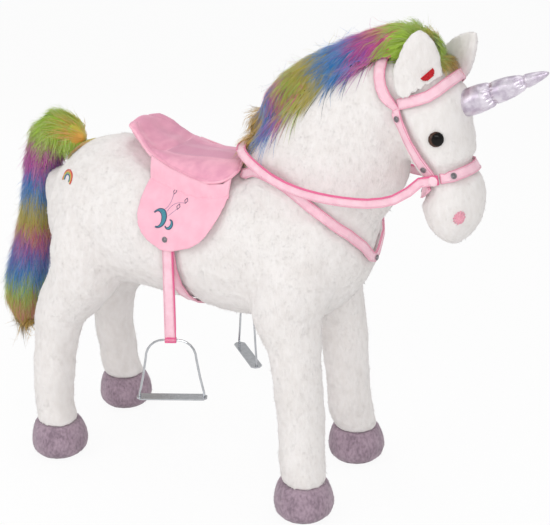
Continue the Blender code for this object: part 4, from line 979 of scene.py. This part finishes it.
def mane_length(place):
    """Mane hair is longest over the withers and along the lower edge."""
    low_part = smooth_step(MANE_ROUTE.share(place), 0.42, 0.80)
    return 0.070 + 0.045 * low_part + (0.7 + 0.6 * low_part) * max(0.0, abs(place[1]) - 0.03)


def tail_length(place):
    """Tail hair is longest at the end."""
    return 0.065 + 0.04 * TAIL_ROUTE.share(place)


def mane_band(place):
    return MANE_ROUTE.share(place) + 0.05 + 0.03 * wander(place, 22)


def tail_band(place):
    return TAIL_ROUTE.share(place) * 1.03 + 0.07 + 0.025 * wander(place, 26)


def end_band(place):
    """Mustard over the withers, with blue and violet locks on its front side."""
    ahead = place[0] - 0.085 + 0.5 * (0.80 - place[2]) + 0.03 * wander(place, 45)
    return 0.88 - 1.6 * max(0.0, ahead) + 0.05 * wander(place, 30)


def skirt_band(place):
    """Hair under the dock has the dye of the bunch's second band."""
    return max(0.14, tail_band(place))


def bunch(node, sink, band, route):
    """The cloth under a bunch of long hair, a little inside the bunch, with the same dye, made a little
    darker as painted shade under the hair.
    """
    piece = skin_of(node + "_cloth", (node,), 0.005, 6)
    lumps(piece, 0.02, 0.004, 5)
    points = points_of(piece)
    shares = [route.share(Vector(p)) for p in points]
    depth = np.array([sink * min(1.0, 0.25 + share / 0.2) for share in shares])
    if node == "tail":
        depth += 0.004 * np.array([smooth_step(share, 0.80, 1.0) for share in shares])
        points[:, 0] += 0.007 * np.exp(-((points[:, 2] - 0.62) / 0.12) ** 2)
    place_points(piece, points - normals_of(piece) * depth[:, None])
    places = points_of(piece)
    write_attribute(piece, "band", np.clip([band(Vector(p)) for p in places], 0, 1))
    write_attribute(piece, "tip", np.zeros(len(places)))
    # Painted shade: the cloth's lock value darkens the dye a little under the hair.
    write_attribute(piece, "lock", np.full(len(places), 0.25))
    body, finish = HAIR_OF["tail" if node == "tail" else "mane"]
    return finish_piece(piece, body, finish, (node,))


HAIR = 1.0
TIP_PARTING = -0.59
SKIRT_FRONT = -0.475
MANE_END = 0.075
TIP_ZONE = 0.11
mane_cover = bunch("mane", 0.005, mane_band, MANE_ROUTE)
forelock_cover = bunch("forelock", 0.005, mane_band, MANE_ROUTE)
tail_cover = bunch("tail", 0.009, tail_band, TAIL_ROUTE)
mane_guide = tree_of(mane_cover, forelock_cover, coat)
tail_guide = tree_of(tail_cover)
bunch_count = int(5400 * HAIR)
for index, part in enumerate("ab"):
    mane_roots = scatter(mane_cover, bunch_count, 41 + index, lambda p, n: n[:, 2] > -0.2)
    strands("mane_strands_" + part, mane_guide, mane_roots, mane_flow, mane_band, 51 + index,
            mane_length, 0.0014)
    strands("tail_strands_" + part, tail_guide, scatter(tail_cover, bunch_count, 61 + index),
            tail_flow, tail_band, 71 + index, tail_length, 0.0014, (0.003, 0.018))
strands("forelock_strands", mane_guide, scatter(forelock_cover, int(4200 * HAIR), 81),
        flow_of(0.7, 9.0, -0.6), mane_band, 82, 0.05, 0.0013, (0.003, 0.02))
fly_roots = scatter(mane_cover, 260, 91, lambda p, n: (n[:, 2] > 0.45) & (p[:, 0] > 0.02))
fly_roots += scatter(forelock_cover, 90, 92, lambda p, n: n[:, 2] > 0.3)
strands("mane_flyaways", mane_guide, fly_roots, flow_of(-0.6, 8.0, 0.2), mane_band, 93,
        0.06, 0.0007, (0.02, 0.042), 7, 0.7)
strands("tail_flyaways", tail_guide, scatter(tail_cover, 900, 94), tail_flow, tail_band, 95,
        tail_length, 0.0009, (0.010, 0.030), 7, 0.35)
bridge_roots = scatter(forelock_cover, int(1500 * HAIR), 96, lambda p, n: n[:, 2] > 0.1)
strands("bridge_strands", mane_guide, bridge_roots, flow_of(-0.9, 5.0, 0.25), mane_band, 97,
        0.05, 0.0012, (0.004, 0.022))
ROOT_PATCH = (-0.370, 0.020, 0.022)
ROOT_COUNT = 2600
GOLDEN_TURN = 2.399963
root_patch = []
for step in range(ROOT_COUNT):
    turn = step * GOLDEN_TURN
    reach = math.sqrt((step + 0.5) / ROOT_COUNT)
    x = ROOT_PATCH[0] + ROOT_PATCH[1] * reach * math.cos(turn)
    y = ROOT_PATCH[2] * reach * math.sin(turn)
    hit, normal, _, _ = coat_tree.ray_cast(Vector((x, y, 1.0)), Vector((0, 0, -1)))
    root_patch.append((np.array(hit), np.array((normal + Vector((-0.3, y * 8, 0))).normalized())))
strands("tail_root_strands", tree_of(tail_cover, coat), root_patch, flow_of(-0.9, 4.0, 0.25), tail_band,
        68, 0.042, 0.0013, (0.002, 0.008), 6, 0.14, 0.9)
skirt_roots = scatter(tail_cover, 12000, 69, lambda p, n: (p[:, 0] > SKIRT_FRONT) & (n[:, 2] < 0.25))
strands("tail_skirt_strands", tail_guide, skirt_roots, flow_of(0.10, 6.0, -1.0), skirt_band,
        70, 0.042, 0.0014, (0.002, 0.010), 6, 0.14, 0.0)
end_roots = scatter(mane_cover, 9000, 88, lambda p, n: (p[:, 0] < MANE_END) & (n[:, 2] > -0.5))
strands("mane_end_strands", mane_guide, end_roots, flow_of(-0.55, 5.0, -0.85), end_band,
        89, 0.085, 0.0013, (0.008, 0.042), 7, 0.2)
tip_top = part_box("tail")[0].z + TIP_ZONE
tip_roots = scatter(tail_cover, 16000, 98, lambda p, n: p[:, 2] < tip_top)
strands("tail_tips", tail_guide, tip_roots, tip_flow, tail_band, 99,
        0.095, 0.0013, (0.002, 0.014), 7, 0.2, 0.15)


# Horn

HORN_TIP = Vector((0.639, 0, 0.951))
HORN_FOOT = Vector((0.482, 0, 0.8755))
HORN_OUTLINE = (
    (0.0, 0.0245), (0.06, 0.0262), (0.15, 0.0268), (0.24, 0.0258), (0.30, 0.0234), (0.335, 0.0202),
    (0.35, 0.0180), (0.365, 0.0200), (0.40, 0.0219), (0.47, 0.0217), (0.56, 0.0201), (0.64, 0.0172),
    (0.69, 0.0141), (0.715, 0.0113), (0.725, 0.0101), (0.735, 0.0112), (0.76, 0.0129), (0.82, 0.0117),
    (0.90, 0.0086), (0.96, 0.0057), (0.985, 0.0038), (1.0, 0.0014),
)
HORN_GATHERS = (0.35, 0.725)


def horn_radius(along, angle):
    """The horn's radius, with the little folds that the two gathers pull into the cloth."""
    places = [p for p, _ in HORN_OUTLINE]
    radius = float(np.interp(along, places, [r for _, r in HORN_OUTLINE]))
    fold = 0.0
    for gather in HORN_GATHERS:
        near = math.exp(-((along - gather + 0.012) / 0.042) ** 2)
        wide = 0.07 * math.sin(angle * 17 + gather * 9)
        fine = 0.04 * math.sin(angle * 26 + 1 + gather * 30)
        fold += near * (wide + fine)
    crumple = noise.noise(Vector((math.cos(angle) * 1.6, math.sin(angle) * 1.6, along * 9))) * 0.022
    return radius * (1 + fold + crumple)


HORN_SIDES = 144
HORN_RINGS = 160
horn_side = Vector((0, 1, 0))
horn_up = (HORN_TIP - HORN_FOOT).normalized().cross(horn_side)
deselect_all()
bpy.ops.mesh.primitive_cylinder_add(vertices=HORN_SIDES, radius=1, depth=1, location=(0, 0, 0.5))
horn = bpy.context.active_object
horn.name = "horn_cover"
settle(horn)
bpy.ops.object.mode_set(mode="EDIT")
form = bmesh.from_edit_mesh(horn.data)
upright = [e for e in form.edges if abs(e.verts[0].co.z - e.verts[1].co.z) > 0.5]
bmesh.ops.subdivide_edges(form, edges=upright, cuts=HORN_RINGS)
for corner in form.verts:
    along = corner.co.z
    angle = math.atan2(corner.co.y, corner.co.x)
    radius = horn_radius(along, angle) * math.hypot(corner.co.x, corner.co.y)
    ring = horn_side * (math.cos(angle) * radius) + horn_up * (math.sin(angle) * radius)
    corner.co = HORN_FOOT + (HORN_TIP - HORN_FOOT) * along + ring
bmesh.ops.recalc_face_normals(form, faces=form.faces)
bmesh.update_edit_mesh(horn.data)
bpy.ops.object.mode_set(mode="OBJECT")
finish_piece(horn, "body", horn_cloth, ("horn",))


# Saddle and flaps

SEAT_RIM = (
    (-0.225, 0.04), (-0.205, 0.062), (-0.17, 0.088), (-0.145, 0.102), (-0.10, 0.113), (-0.05, 0.12),
    (0.0, 0.124), (0.03, 0.119), (0.045, 0.105),
)
SEAT_RIM_HEIGHTS = (
    (-0.225, 0.775), (-0.17, 0.735), (-0.145, 0.72), (-0.10, 0.705), (-0.05, 0.693), (0.0, 0.684),
    (0.03, 0.688), (0.045, 0.70),
)


def rim_at(along, table):
    """A value of the seat's rim at a place along the animal."""
    return float(np.interp(along, [p for p, _ in table], [w for _, w in table]))


def velvet_pad(name, node, body, finish, voxel, rounds):
    """A velvet-covered pad in the place of its CAD node, swollen a little by its stuffing."""
    piece = skin_of(name, (node,), voxel, rounds)
    lumps(piece, 0.05, 0.0012, 8)
    return finish_piece(piece, body, finish, (node,))


def tube(name, path, radius, closed=False, sides=8):
    """A round cord of cloth or thread along a path."""
    count = len(path)
    places = []
    faces = []
    for index, point in enumerate(path):
        before = path[index - 1] if closed or index > 0 else point
        after = path[(index + 1) % count] if closed or index < count - 1 else point
        ahead = (Vector(after) - Vector(before)).normalized()
        first = ahead.cross(Vector((0.13, 0.21, 0.97))).normalized()
        second = ahead.cross(first)
        for side in range(sides):
            angle = 2 * math.pi * side / sides
            places.append(Vector(point) + (first * math.cos(angle) + second * math.sin(angle)) * radius)
    rings = count if closed else count - 1
    for ring in range(rings):
        for side in range(sides):
            here, beyond = ring * sides, (ring + 1) % count * sides
            onward = (side + 1) % sides
            faces.append((here + side, here + onward, beyond + onward, beyond + side))
    if not closed:
        faces.append(tuple(range(sides))[::-1])
        faces.append(tuple((count - 1) * sides + side for side in range(sides)))
    piece = mesh_piece(name, places, faces)
    face_outwards(piece)
    return piece


def rim_of(piece, across, count, inset):
    """The outline of a pad as it is seen along one axis: the farthest point in each direction."""
    points = points_of(piece)
    others = [k for k in range(3) if k != across]
    centre = (points.min(0) + points.max(0)) / 2
    flat = points[:, others] - centre[others]
    angles = np.arctan2(flat[:, 1], flat[:, 0])
    far = np.linalg.norm(flat, axis=1)
    path = []
    for step in range(count):
        angle = -math.pi + 2 * math.pi * (step + 0.5) / count
        gap = np.abs((angles - angle + math.pi) % (2 * math.pi) - math.pi)
        near = np.where(gap < 2.2 * math.pi / count)[0]
        best = near[np.argmax(far[near])]
        path.append(points[best])
    path = np.array(path)
    for _ in range(4):
        path = (np.roll(path, 1, 0) + 2 * path + np.roll(path, -1, 0)) / 4
    inward = centre - path
    inward[:, across] = 0
    inward /= np.linalg.norm(inward, axis=1)[:, None]
    return [Vector(p) for p in path + inward * inset]


SEAT_SWELL = 0.0018
SEAT_REAR = -0.16
NEAR_EDGE_RISE = 0.008
FAR_EDGE_RISE = -0.007
DISH_DEPTH = 0.009
CREASE_DEPTH = 0.006
CREASE_PLACE = 0.138
SEAM_DEPTH = 0.0026
SEAM_FROM_RIM = 0.011
seat = velvet_pad("seat_cover", "saddle_seat", "body", seat_velvet_painted_shade, 0.0035, 16)
seat_points = points_of(seat)
seat_normals = normals_of(seat)
seat_points += seat_normals * SEAT_SWELL
seat_tree = tree_of(seat)
# Painted shade on the seat: the floor of the dish, the seat's far side and the far part of the cantle are
# darkened through a point attribute. This stands in for the shading that the dish and the velvet's sheen
# give at grazing angles.
nap = np.zeros(len(seat_points))
for index, point in enumerate(seat_points):
    aside = abs(point[1])
    high_up = Vector((point[0] * 0.98 - 0.002, point[1] * 0.97, 1.0))
    above = seat_tree.ray_cast(high_up, Vector((0, 0, -1)))[0]
    rim_share = smooth_step(aside, 0.045, 0.095)
    if point[0] < SEAT_REAR:
        rim_share = 1.0
    if above is not None and point[2] < above.z:
        seat_points[index][2] = above.z - (above.z - point[2]) * (1 - 0.55 * rim_share)
    wing = smooth_step(aside, 0.045, 0.105) * smooth_step(point[0], -0.235, -0.19)
    seat_points[index][2] += wing * (NEAR_EDGE_RISE if point[1] < 0 else FAR_EDGE_RISE)
    if seat_normals[index][2] > 0.15:
        dish = DISH_DEPTH * (1 - smooth_step(aside, 0.030, 0.066))
        dish *= smooth_step(point[0], -0.150, -0.120)
        crease = CREASE_DEPTH * math.exp(-((point[0] + CREASE_PLACE + 0.25 * aside) / 0.008) ** 2)
        crease *= 1 - smooth_step(aside, 0.07, 0.095)
        to_seam = aside - rim_at(point[0], SEAT_RIM) + SEAM_FROM_RIM
        seam = SEAM_DEPTH * math.exp(-(to_seam / 0.0022) ** 2)
        seat_points[index][2] -= dish + crease + seam
        floor_share = 1 - smooth_step(aside - 0.2 * max(0, -0.05 - point[0]), 0.030, 0.042)
        if point[0] < -0.14:
            floor_share = 0.55 * smooth_step(point[1], -0.055, 0.02)
        nap[index] = max(floor_share, 0.5 * smooth_step(point[1], 0.02, 0.05))
write_attribute(seat, "nap", nap)
place_points(seat, seat_points)
welt = tube("seat_welt", rim_of(seat, 2, 150, 0.001), 0.0034, closed=True, sides=10)
finish_piece(welt, "body", pink_velvet)

FLAPS = {"right": -1, "left": 1}
HEADING_ROWS = 9
HEADING_LAP = 0.003
flap_trees = {}


def on_side(side, x, z, tries=1):
    """The flap's outer face and its normal at a place, or as much as some millimetres below it."""
    out = FLAPS[side]
    for drop in range(tries):
        start = Vector((x, out * 0.5, z - 0.001 * drop))
        hit, normal, _, _ = flap_trees[side].ray_cast(start, Vector((0, -out, 0)))
        if hit is not None:
            break
    return hit, normal


for side, out in FLAPS.items():
    body = side + "_flap"
    flap = velvet_pad("flap_cover_" + side, "flap_" + side, body, pink_velvet, 0.0024, 12)
    flap_trees[side] = tree_of(flap)
    low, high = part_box("flap_" + side)
    feet = []
    for step in range(56):
        x = low.x + 0.003 + (high.x - low.x - 0.006) * step / 55
        hit = on_side(side, x, high.z, 60)[0]
        if hit is not None:
            feet.append(Vector((x, hit.y, hit.z - HEADING_LAP)))
    heights = [foot.z for foot in feet]
    for index, foot in enumerate(feet):
        foot.z = min(heights[max(0, index - 4):index + 5])
    places = []
    for row in range(HEADING_ROWS):
        rise = row / (HEADING_ROWS - 1)
        for foot in feet:
            rim_height = rim_at(foot.x, SEAT_RIM_HEIGHTS) + (0.002 if out < 0 else -0.009)
            rim_aside = rim_at(foot.x, SEAT_RIM) + 0.0015
            aside = abs(foot.y) + 0.0012 + (rim_aside - abs(foot.y)) * rise
            aside += 0.002 * math.sin(math.pi * rise)
            places.append((foot.x, out * aside, foot.z + (rim_height - foot.z) * rise))
    many = len(feet)
    faces = []
    for corner in range(many * (HEADING_ROWS - 1)):
        if corner % many < many - 1:
            faces.append((corner, corner + 1, corner + many + 1, corner + many)[::-out])
    heading = mesh_piece("flap_heading_" + side, places, faces)
    apply_modifier(heading, "SOLIDIFY", thickness=0.004, offset=-1.0)
    finish_piece(heading, "body", pink_velvet, ())
    hem = tube("flap_hem_" + side, rim_of(flap, 1, 130, 0.0045), 0.0009, True, 6)
    hem_points = points_of(hem)
    for index, point in enumerate(hem_points):
        near = on_side(side, point[0], point[2])[0]
        if near is not None and abs(near.y) > abs(point[1]):
            hem_points[index][1] = near.y + (point[1] - near.y) * 0.15
    place_points(hem, hem_points)
    finish_piece(hem, body, pale_binding)


# Embroidery

def on_flap(side, x, z, off):
    """A place a little off the flap's outer face, and the normal there."""
    hit, normal = on_side(side, x, z, 30)
    return hit + normal * off, normal


def stitched_line(name, side, flat, radius, finish, closed=False):
    """A thread line laid on the flap through flat places."""
    path = [on_flap(side, x, z, radius * 0.5)[0] for x, z in flat]
    finish_piece(tube(name, path, radius, closed, 6), side + "_flap", finish)


def crescent(centre, size, turn, count=26):
    """The outline of a crescent moon."""
    outline = []
    for step in range(count):
        angle = math.radians(-125 + 250 * step / (count - 1))
        outline.append((math.cos(angle) * size, math.sin(angle) * size))
    for step in range(1, count - 1):
        angle = math.radians(125 - 250 * step / (count - 1))
        outline.append((math.cos(angle) * size * 0.62 - size * 0.22, math.sin(angle) * size * 0.82))
    ahead, aside = math.cos(turn), math.sin(turn)
    return [(centre[0] + x * ahead - z * aside, centre[1] + x * aside + z * ahead) for x, z in outline]


def diamond(centre, wide, high, per_side=4):
    """The outline of a small diamond."""
    corners = ((wide, 0), (0, high), (-wide, 0), (0, -high))
    outline = []
    for index, (x, z) in enumerate(corners):
        nx, nz = corners[(index + 1) % 4]
        for step in range(per_side):
            share_along = step / per_side
            across, up = x + (nx - x) * share_along, z + (nz - z) * share_along
            outline.append((centre[0] + across, centre[1] + up))
    return outline


THREAD_ROW = 0.00095


def satin_fill(name, side, outline, finish):
    """A satin-stitched patch: rows of thick thread from one edge of the outline to the other."""
    outline = np.array(outline)
    low = outline[:, 1].min()
    high = outline[:, 1].max()
    row = low + 0.0005
    parts = []
    while row < high:
        crossings = []
        for index in range(len(outline)):
            x0, z0 = outline[index]
            x1, z1 = outline[(index + 1) % len(outline)]
            if (z0 - row) * (z1 - row) < 0:
                crossings.append(x0 + (x1 - x0) * (row - z0) / (z1 - z0))
        crossings.sort()
        for start, end in zip(crossings[::2], crossings[1::2]):
            if end - start > 0.001:
                path = [on_flap(side, start + (end - start) * k / 4, row, 0.0004)[0] for k in range(5)]
                parts.append(tube(name + "_row", path, 0.0006, False, 5))
        row += THREAD_ROW
    finish_piece(joined(parts, name), side + "_flap", finish)


MOONS = (
    ("moon", (-0.092, 0.614), 0.017, 20, 0.0009),
    ("small_moon", (-0.066, 0.606), 0.009, -30, 0.0008),
)
TRAILS = (
    ((-0.086, 0.630), (-0.078, 0.657), -0.004),
    ((-0.078, 0.628), (-0.046, 0.645), 0.005),
    ((-0.072, 0.621), (-0.058, 0.634), 0.0),
)
for side in FLAPS:
    for name, centre, size, turn, thick in MOONS:
        moon = crescent(centre, size, math.radians(turn))
        satin_fill("%s_fill_%s" % (name, side), side, moon, teal_thread)
        stitched_line("%s_edge_%s" % (name, side), side, moon, thick, navy_thread, True)
    for number, (foot, top, bend) in enumerate(TRAILS):
        arc = []
        for step in range(9):
            share_along = step / 8
            swell = math.sin(math.pi * share_along) * bend
            arc.append((foot[0] + (top[0] - foot[0]) * share_along - swell,
                        foot[1] + (top[1] - foot[1]) * share_along + swell))
        stitched_line("arc_%d_%s" % (number, side), side, arc, 0.0004, lilac_thread)
        stitched_line("diamond_%d_%s" % (number, side), side,
                      diamond((top[0] + 0.001, top[1] + 0.004), 0.0036, 0.0046), 0.0006, navy_thread, True)


# Straps

def split_edges(form, node, favour):
    """The strap's long edges, parted into those on the favoured side and the others."""
    edges = [e for e in form.edges if e.is_manifold and e.calc_face_angle(0) > 0.7]
    ends = [(e.verts[0].co.copy(), e.verts[1].co.copy()) for e in edges]
    samples = []
    for a, b in ends:
        count = max(2, int((b - a).length / 0.0015))
        samples += [a.lerp(b, k / count) for k in range(count + 1)]
    near = KDTree(len(samples))
    for index, point in enumerate(samples):
        near.insert(point, index)
    near.balance()
    upper = []
    lower = []
    for a, b in ends:
        middle = (a + b) / 2
        around = [point for point, _, _ in near.find_range(middle, STRAP_WIDTH)]
        centre = sum(around, Vector()) / max(1, len(around))
        if node.startswith("stirrup_strap"):
            centre = sum(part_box(node), Vector()) / 2
        (upper if (middle - centre).dot(favour) > 0 else lower).append((a, b))
    return near, upper, lower


def bound_edge(name, ends, thick, finish, body):
    """A rolled binding along edges."""
    corners = [point for pair in ends for point in pair]
    edge = mesh_piece(name, corners, (), [(2 * k, 2 * k + 1) for k in range(len(ends))])
    edit_all(edge, (bpy.ops.mesh.remove_doubles, {"threshold": 0.00005}))
    bpy.ops.object.convert(target="CURVE")
    edge.data.bevel_depth = thick
    edge.data.bevel_resolution = 2
    edge.data.use_fill_caps = True
    bpy.ops.object.convert(target="MESH")
    edge = bpy.context.active_object
    edge.name = name
    finish_piece(edge, body, finish)


def webbing(name, node, body, favour, binding, radius):
    """A strap of woven ribbon in the place of its CAD node, with a rolled binding along its edges."""
    piece = copy_of(name, node)
    form = bmesh.new()
    form.from_mesh(piece.data)
    near, upper, lower = split_edges(form, node, favour)
    form.free()
    edit_all(piece, (bpy.ops.mesh.subdivide, {"number_cuts": 3}))
    write_attribute(piece, "rim", [near.find(p)[2] for p in points_of(piece)])
    finish_piece(piece, body, pink_webbing, (node,), smooth=False)
    bpy.ops.object.shade_smooth_by_angle(angle=math.radians(35))
    bound_edge(name + "_edge", upper, radius, binding, body)
    bound_edge(name + "_hem", lower, 0.0007, pale_binding, body)


STRAP_WIDTH = 0.022
for name, node, body, favour, binding, radius in (
    ("crown_ribbon", "crown_strap", "body", AHEAD, pink_binding, 0.0007),
    ("brow_ribbon", "browband", "body", UP, pink_binding, 0.0007),
    ("nose_ribbon", "noseband", "body", UP, pink_binding, 0.0007),
    ("chin_ribbon", "chin_strap", "body", UP, pink_binding, 0.0007),
    ("breast_ribbon", "breast_strap", "body", UP, pink_binding, 0.0009),
    ("girth_ribbon", "girth", "body", AHEAD, pink_binding, 0.0009),
    ("rein_ribbon", "reins", "rein_loop", UP, hot_binding, 0.0016),
    ("stirrup_ribbon_right", "stirrup_strap_right", "right_stirrup_strap", AHEAD, hot_binding, 0.0016),
    ("stirrup_ribbon_left", "stirrup_strap_left", "left_stirrup_strap", AHEAD, hot_binding, 0.0016),
):
    webbing(name, node, body, favour, binding, radius)


# Eyes, nostrils and patches

def eye_finish():
    """Glossy eye: black in the middle, a dark brown rim."""
    glass = Finish("eye_glass", Coat_Weight=0.1, Coat_Roughness=0.03, Specular_IOR_Level=0.16)
    cloud = glass.grain(220)
    rim = glass.band(glass.attribute("ring"), 0.82, 0.90)
    brown = glass.mix(cloud, tone(52, 34, 28), tone(84, 58, 46))
    return glass.dress(glass.mix(rim, tone(8, 6, 6), brown), cloud * 0.05 + 0.05)


NOSTRIL_ROWS = 9
NOSTRIL_ROW_GAP = 0.0026
NOSTRIL_HALF = 0.0120


def nostril_rows(side):
    """Rows of thick thread that follow the muzzle where the nostril is."""
    low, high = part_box("nostril_" + side)
    found, out, _, _ = coat_tree.find_nearest((low + high) / 2)
    across = out.cross(UP).normalized()
    upward = across.cross(out)
    turned = across * 0.8 + upward * (-0.6 if side == "right" else 0.6)
    crossways = out.cross(turned)
    for row in range(NOSTRIL_ROWS):
        place = (row - NOSTRIL_ROWS // 2) * NOSTRIL_ROW_GAP
        half = NOSTRIL_HALF * math.sqrt(max(0.05, 1 - (place / 0.0125) ** 2)) * (0.75 + 0.35 * (row % 2))
        path = []
        for step in range(7):
            along = -half + 2 * half * step / 6
            bow = 0.0016 * (1 - (along / half) ** 2)
            start = found + turned * along + crossways * (place + 0.2 * along) + out * 0.03
            path.append(coat_tree.ray_cast(start, -out)[0] + out * (0.0006 + bow))
        yield tube("nostril_row", path, 0.0017, False, 6)


eye_glass = eye_finish()
for side, out in FLAPS.items():
    eye = skin_of("eye_dome_" + side, ("eye_" + side,), 0.0009, 10)
    points = points_of(eye)
    apart = points - (points.min(0) + points.max(0)) / 2
    radius = (points[:, 2].max() - points[:, 2].min()) / 2
    axis = np.array(Vector((0.42, 0.9 * out, 0.1)).normalized())
    flat = apart - np.outer(apart @ axis, axis)
    write_attribute(eye, "ring", np.linalg.norm(flat, axis=1) / radius)
    finish_piece(eye, "body", eye_glass, ("eye_" + side,))
    patch = joined(list(nostril_rows(side)), "nostril_patch_" + side)
    finish_piece(patch, "body", patch_pink, ("nostril_" + side,))


# Snap rivets

def snap(node):
    """A press snap: a rolled ring round a small raised cup."""
    low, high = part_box(node)
    middle = (low + high) / 2
    if node.startswith("flap_rivet"):
        base, axis = on_flap(node.split("_")[-1], middle.x, middle.z, 0.0008)
    else:
        corners = np.array([v.co for v in NODES[node].data.vertices])
        axis = Vector(np.linalg.svd(corners - corners.mean(0), full_matrices=False)[2][2])
        if axis.dot(middle - coat_tree.find_nearest(middle)[0]) < 0:
            axis = -axis
        top = max((Vector(c) - middle).dot(axis) for c in corners)
        base = middle + axis * (top + 0.0004)
    turn = axis.to_track_quat("Z", "Y").to_euler()
    deselect_all()
    bpy.ops.mesh.primitive_torus_add(
        major_radius=0.0047, minor_radius=0.0015, major_segments=28, minor_segments=10,
        location=base, rotation=turn,
    )
    ring = bpy.context.active_object
    ring.scale = (1, 1, 0.8)
    settle(ring)
    bpy.ops.mesh.primitive_uv_sphere_add(
        segments=20, ring_count=10, radius=0.0036, location=base - axis * 0.0006, rotation=turn
    )
    cup = bpy.context.active_object
    cup.scale = (1, 1, 0.45)
    settle(cup)
    body = NODES[node]["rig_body"]
    finish_piece(joined([ring, cup], node + "_snap"), body, rivet_metal, (node,))


for node in sorted(NODES):
    if "_rivet" in node:
        snap(node)


# Hip patch and ear dot

DOT_CENTRE = Vector((0.4460, -0.10, 0.9480))
DOT_TURN = math.radians(42)
DOT_ROWS = 6
DOT_ROW_GAP = 0.0019
DOT_HALF = 0.0145
DOT_DEPTH = 0.0112
dot_aim = Vector((0.35, -0.90, 0.25)).normalized()
dot_across = UP.cross(dot_aim).normalized()
dot_up = dot_aim.cross(dot_across)
dot_along = dot_across * math.cos(DOT_TURN) + dot_up * math.sin(DOT_TURN)
dot_down = dot_across * math.sin(DOT_TURN) - dot_up * math.cos(DOT_TURN)
ear_tree = tree_of(bpy.data.objects["ear_cover_right"])
dot_rows = []
for row in range(DOT_ROWS):
    place = row * DOT_ROW_GAP
    half = DOT_HALF * math.sqrt(max(0.02, 1 - (place / DOT_DEPTH) ** 2))
    path = []
    for step in range(9):
        along = -half + 2 * half * step / 8
        start = DOT_CENTRE + dot_along * along + dot_down * (place - 0.004)
        hit = ear_tree.ray_cast(start + dot_aim * 0.05, -dot_aim)[0]
        if hit is not None:
            path.append(hit + dot_aim * 0.0030)
    if len(path) > 2:
        dot_rows.append(tube("dot_row", path, 0.0013, False, 6))
finish_piece(joined(dot_rows, "ear_dot"), "body", red_felt)

HIP_CENTRE = Vector((-0.353, -0.11, 0.646))
HIP_REACH = 0.0165
HIP_ARC_GAP = 0.0026
HIP_COLOURS = (
    ("red", tone(214, 62, 58)), ("orange", tone(240, 168, 70)), ("green", tone(150, 196, 92)),
    ("blue", tone(64, 82, 150)),
)
hip_aim = Vector((0, -1, 0))
for index, (word, colour) in enumerate(HIP_COLOURS):
    reach = HIP_REACH - index * HIP_ARC_GAP
    path = []
    for degrees in range(-25, 206, 15):
        angle = math.radians(degrees)
        start = HIP_CENTRE + AHEAD * (math.cos(angle) * reach) + UP * (math.sin(angle) * reach)
        path.append(coat_tree.ray_cast(start + hip_aim * 0.08, -hip_aim)[0] + hip_aim * 0.0009)
    arc = tube("hip_arc_" + word, path, 0.0015, False, 6)
    finish_piece(arc, "body", thread_finish("hip_" + word, colour))


# Finishes of the CAD nodes that stay

KEPT = (
    (rivet_metal, "rivet"), (stirrup_steel, "stirrup_iron stirrup_plate"), (frame_steel, "tube spine post"),
    (boss_plastic, "boss"), (washer_plastic, "washer"), (plywood, "seat_board"),
)
for finish, words in KEPT:
    for node, thing in NODES.items():
        if any(word in node for word in words.split()):
            thing.material_slots[0].material = finish
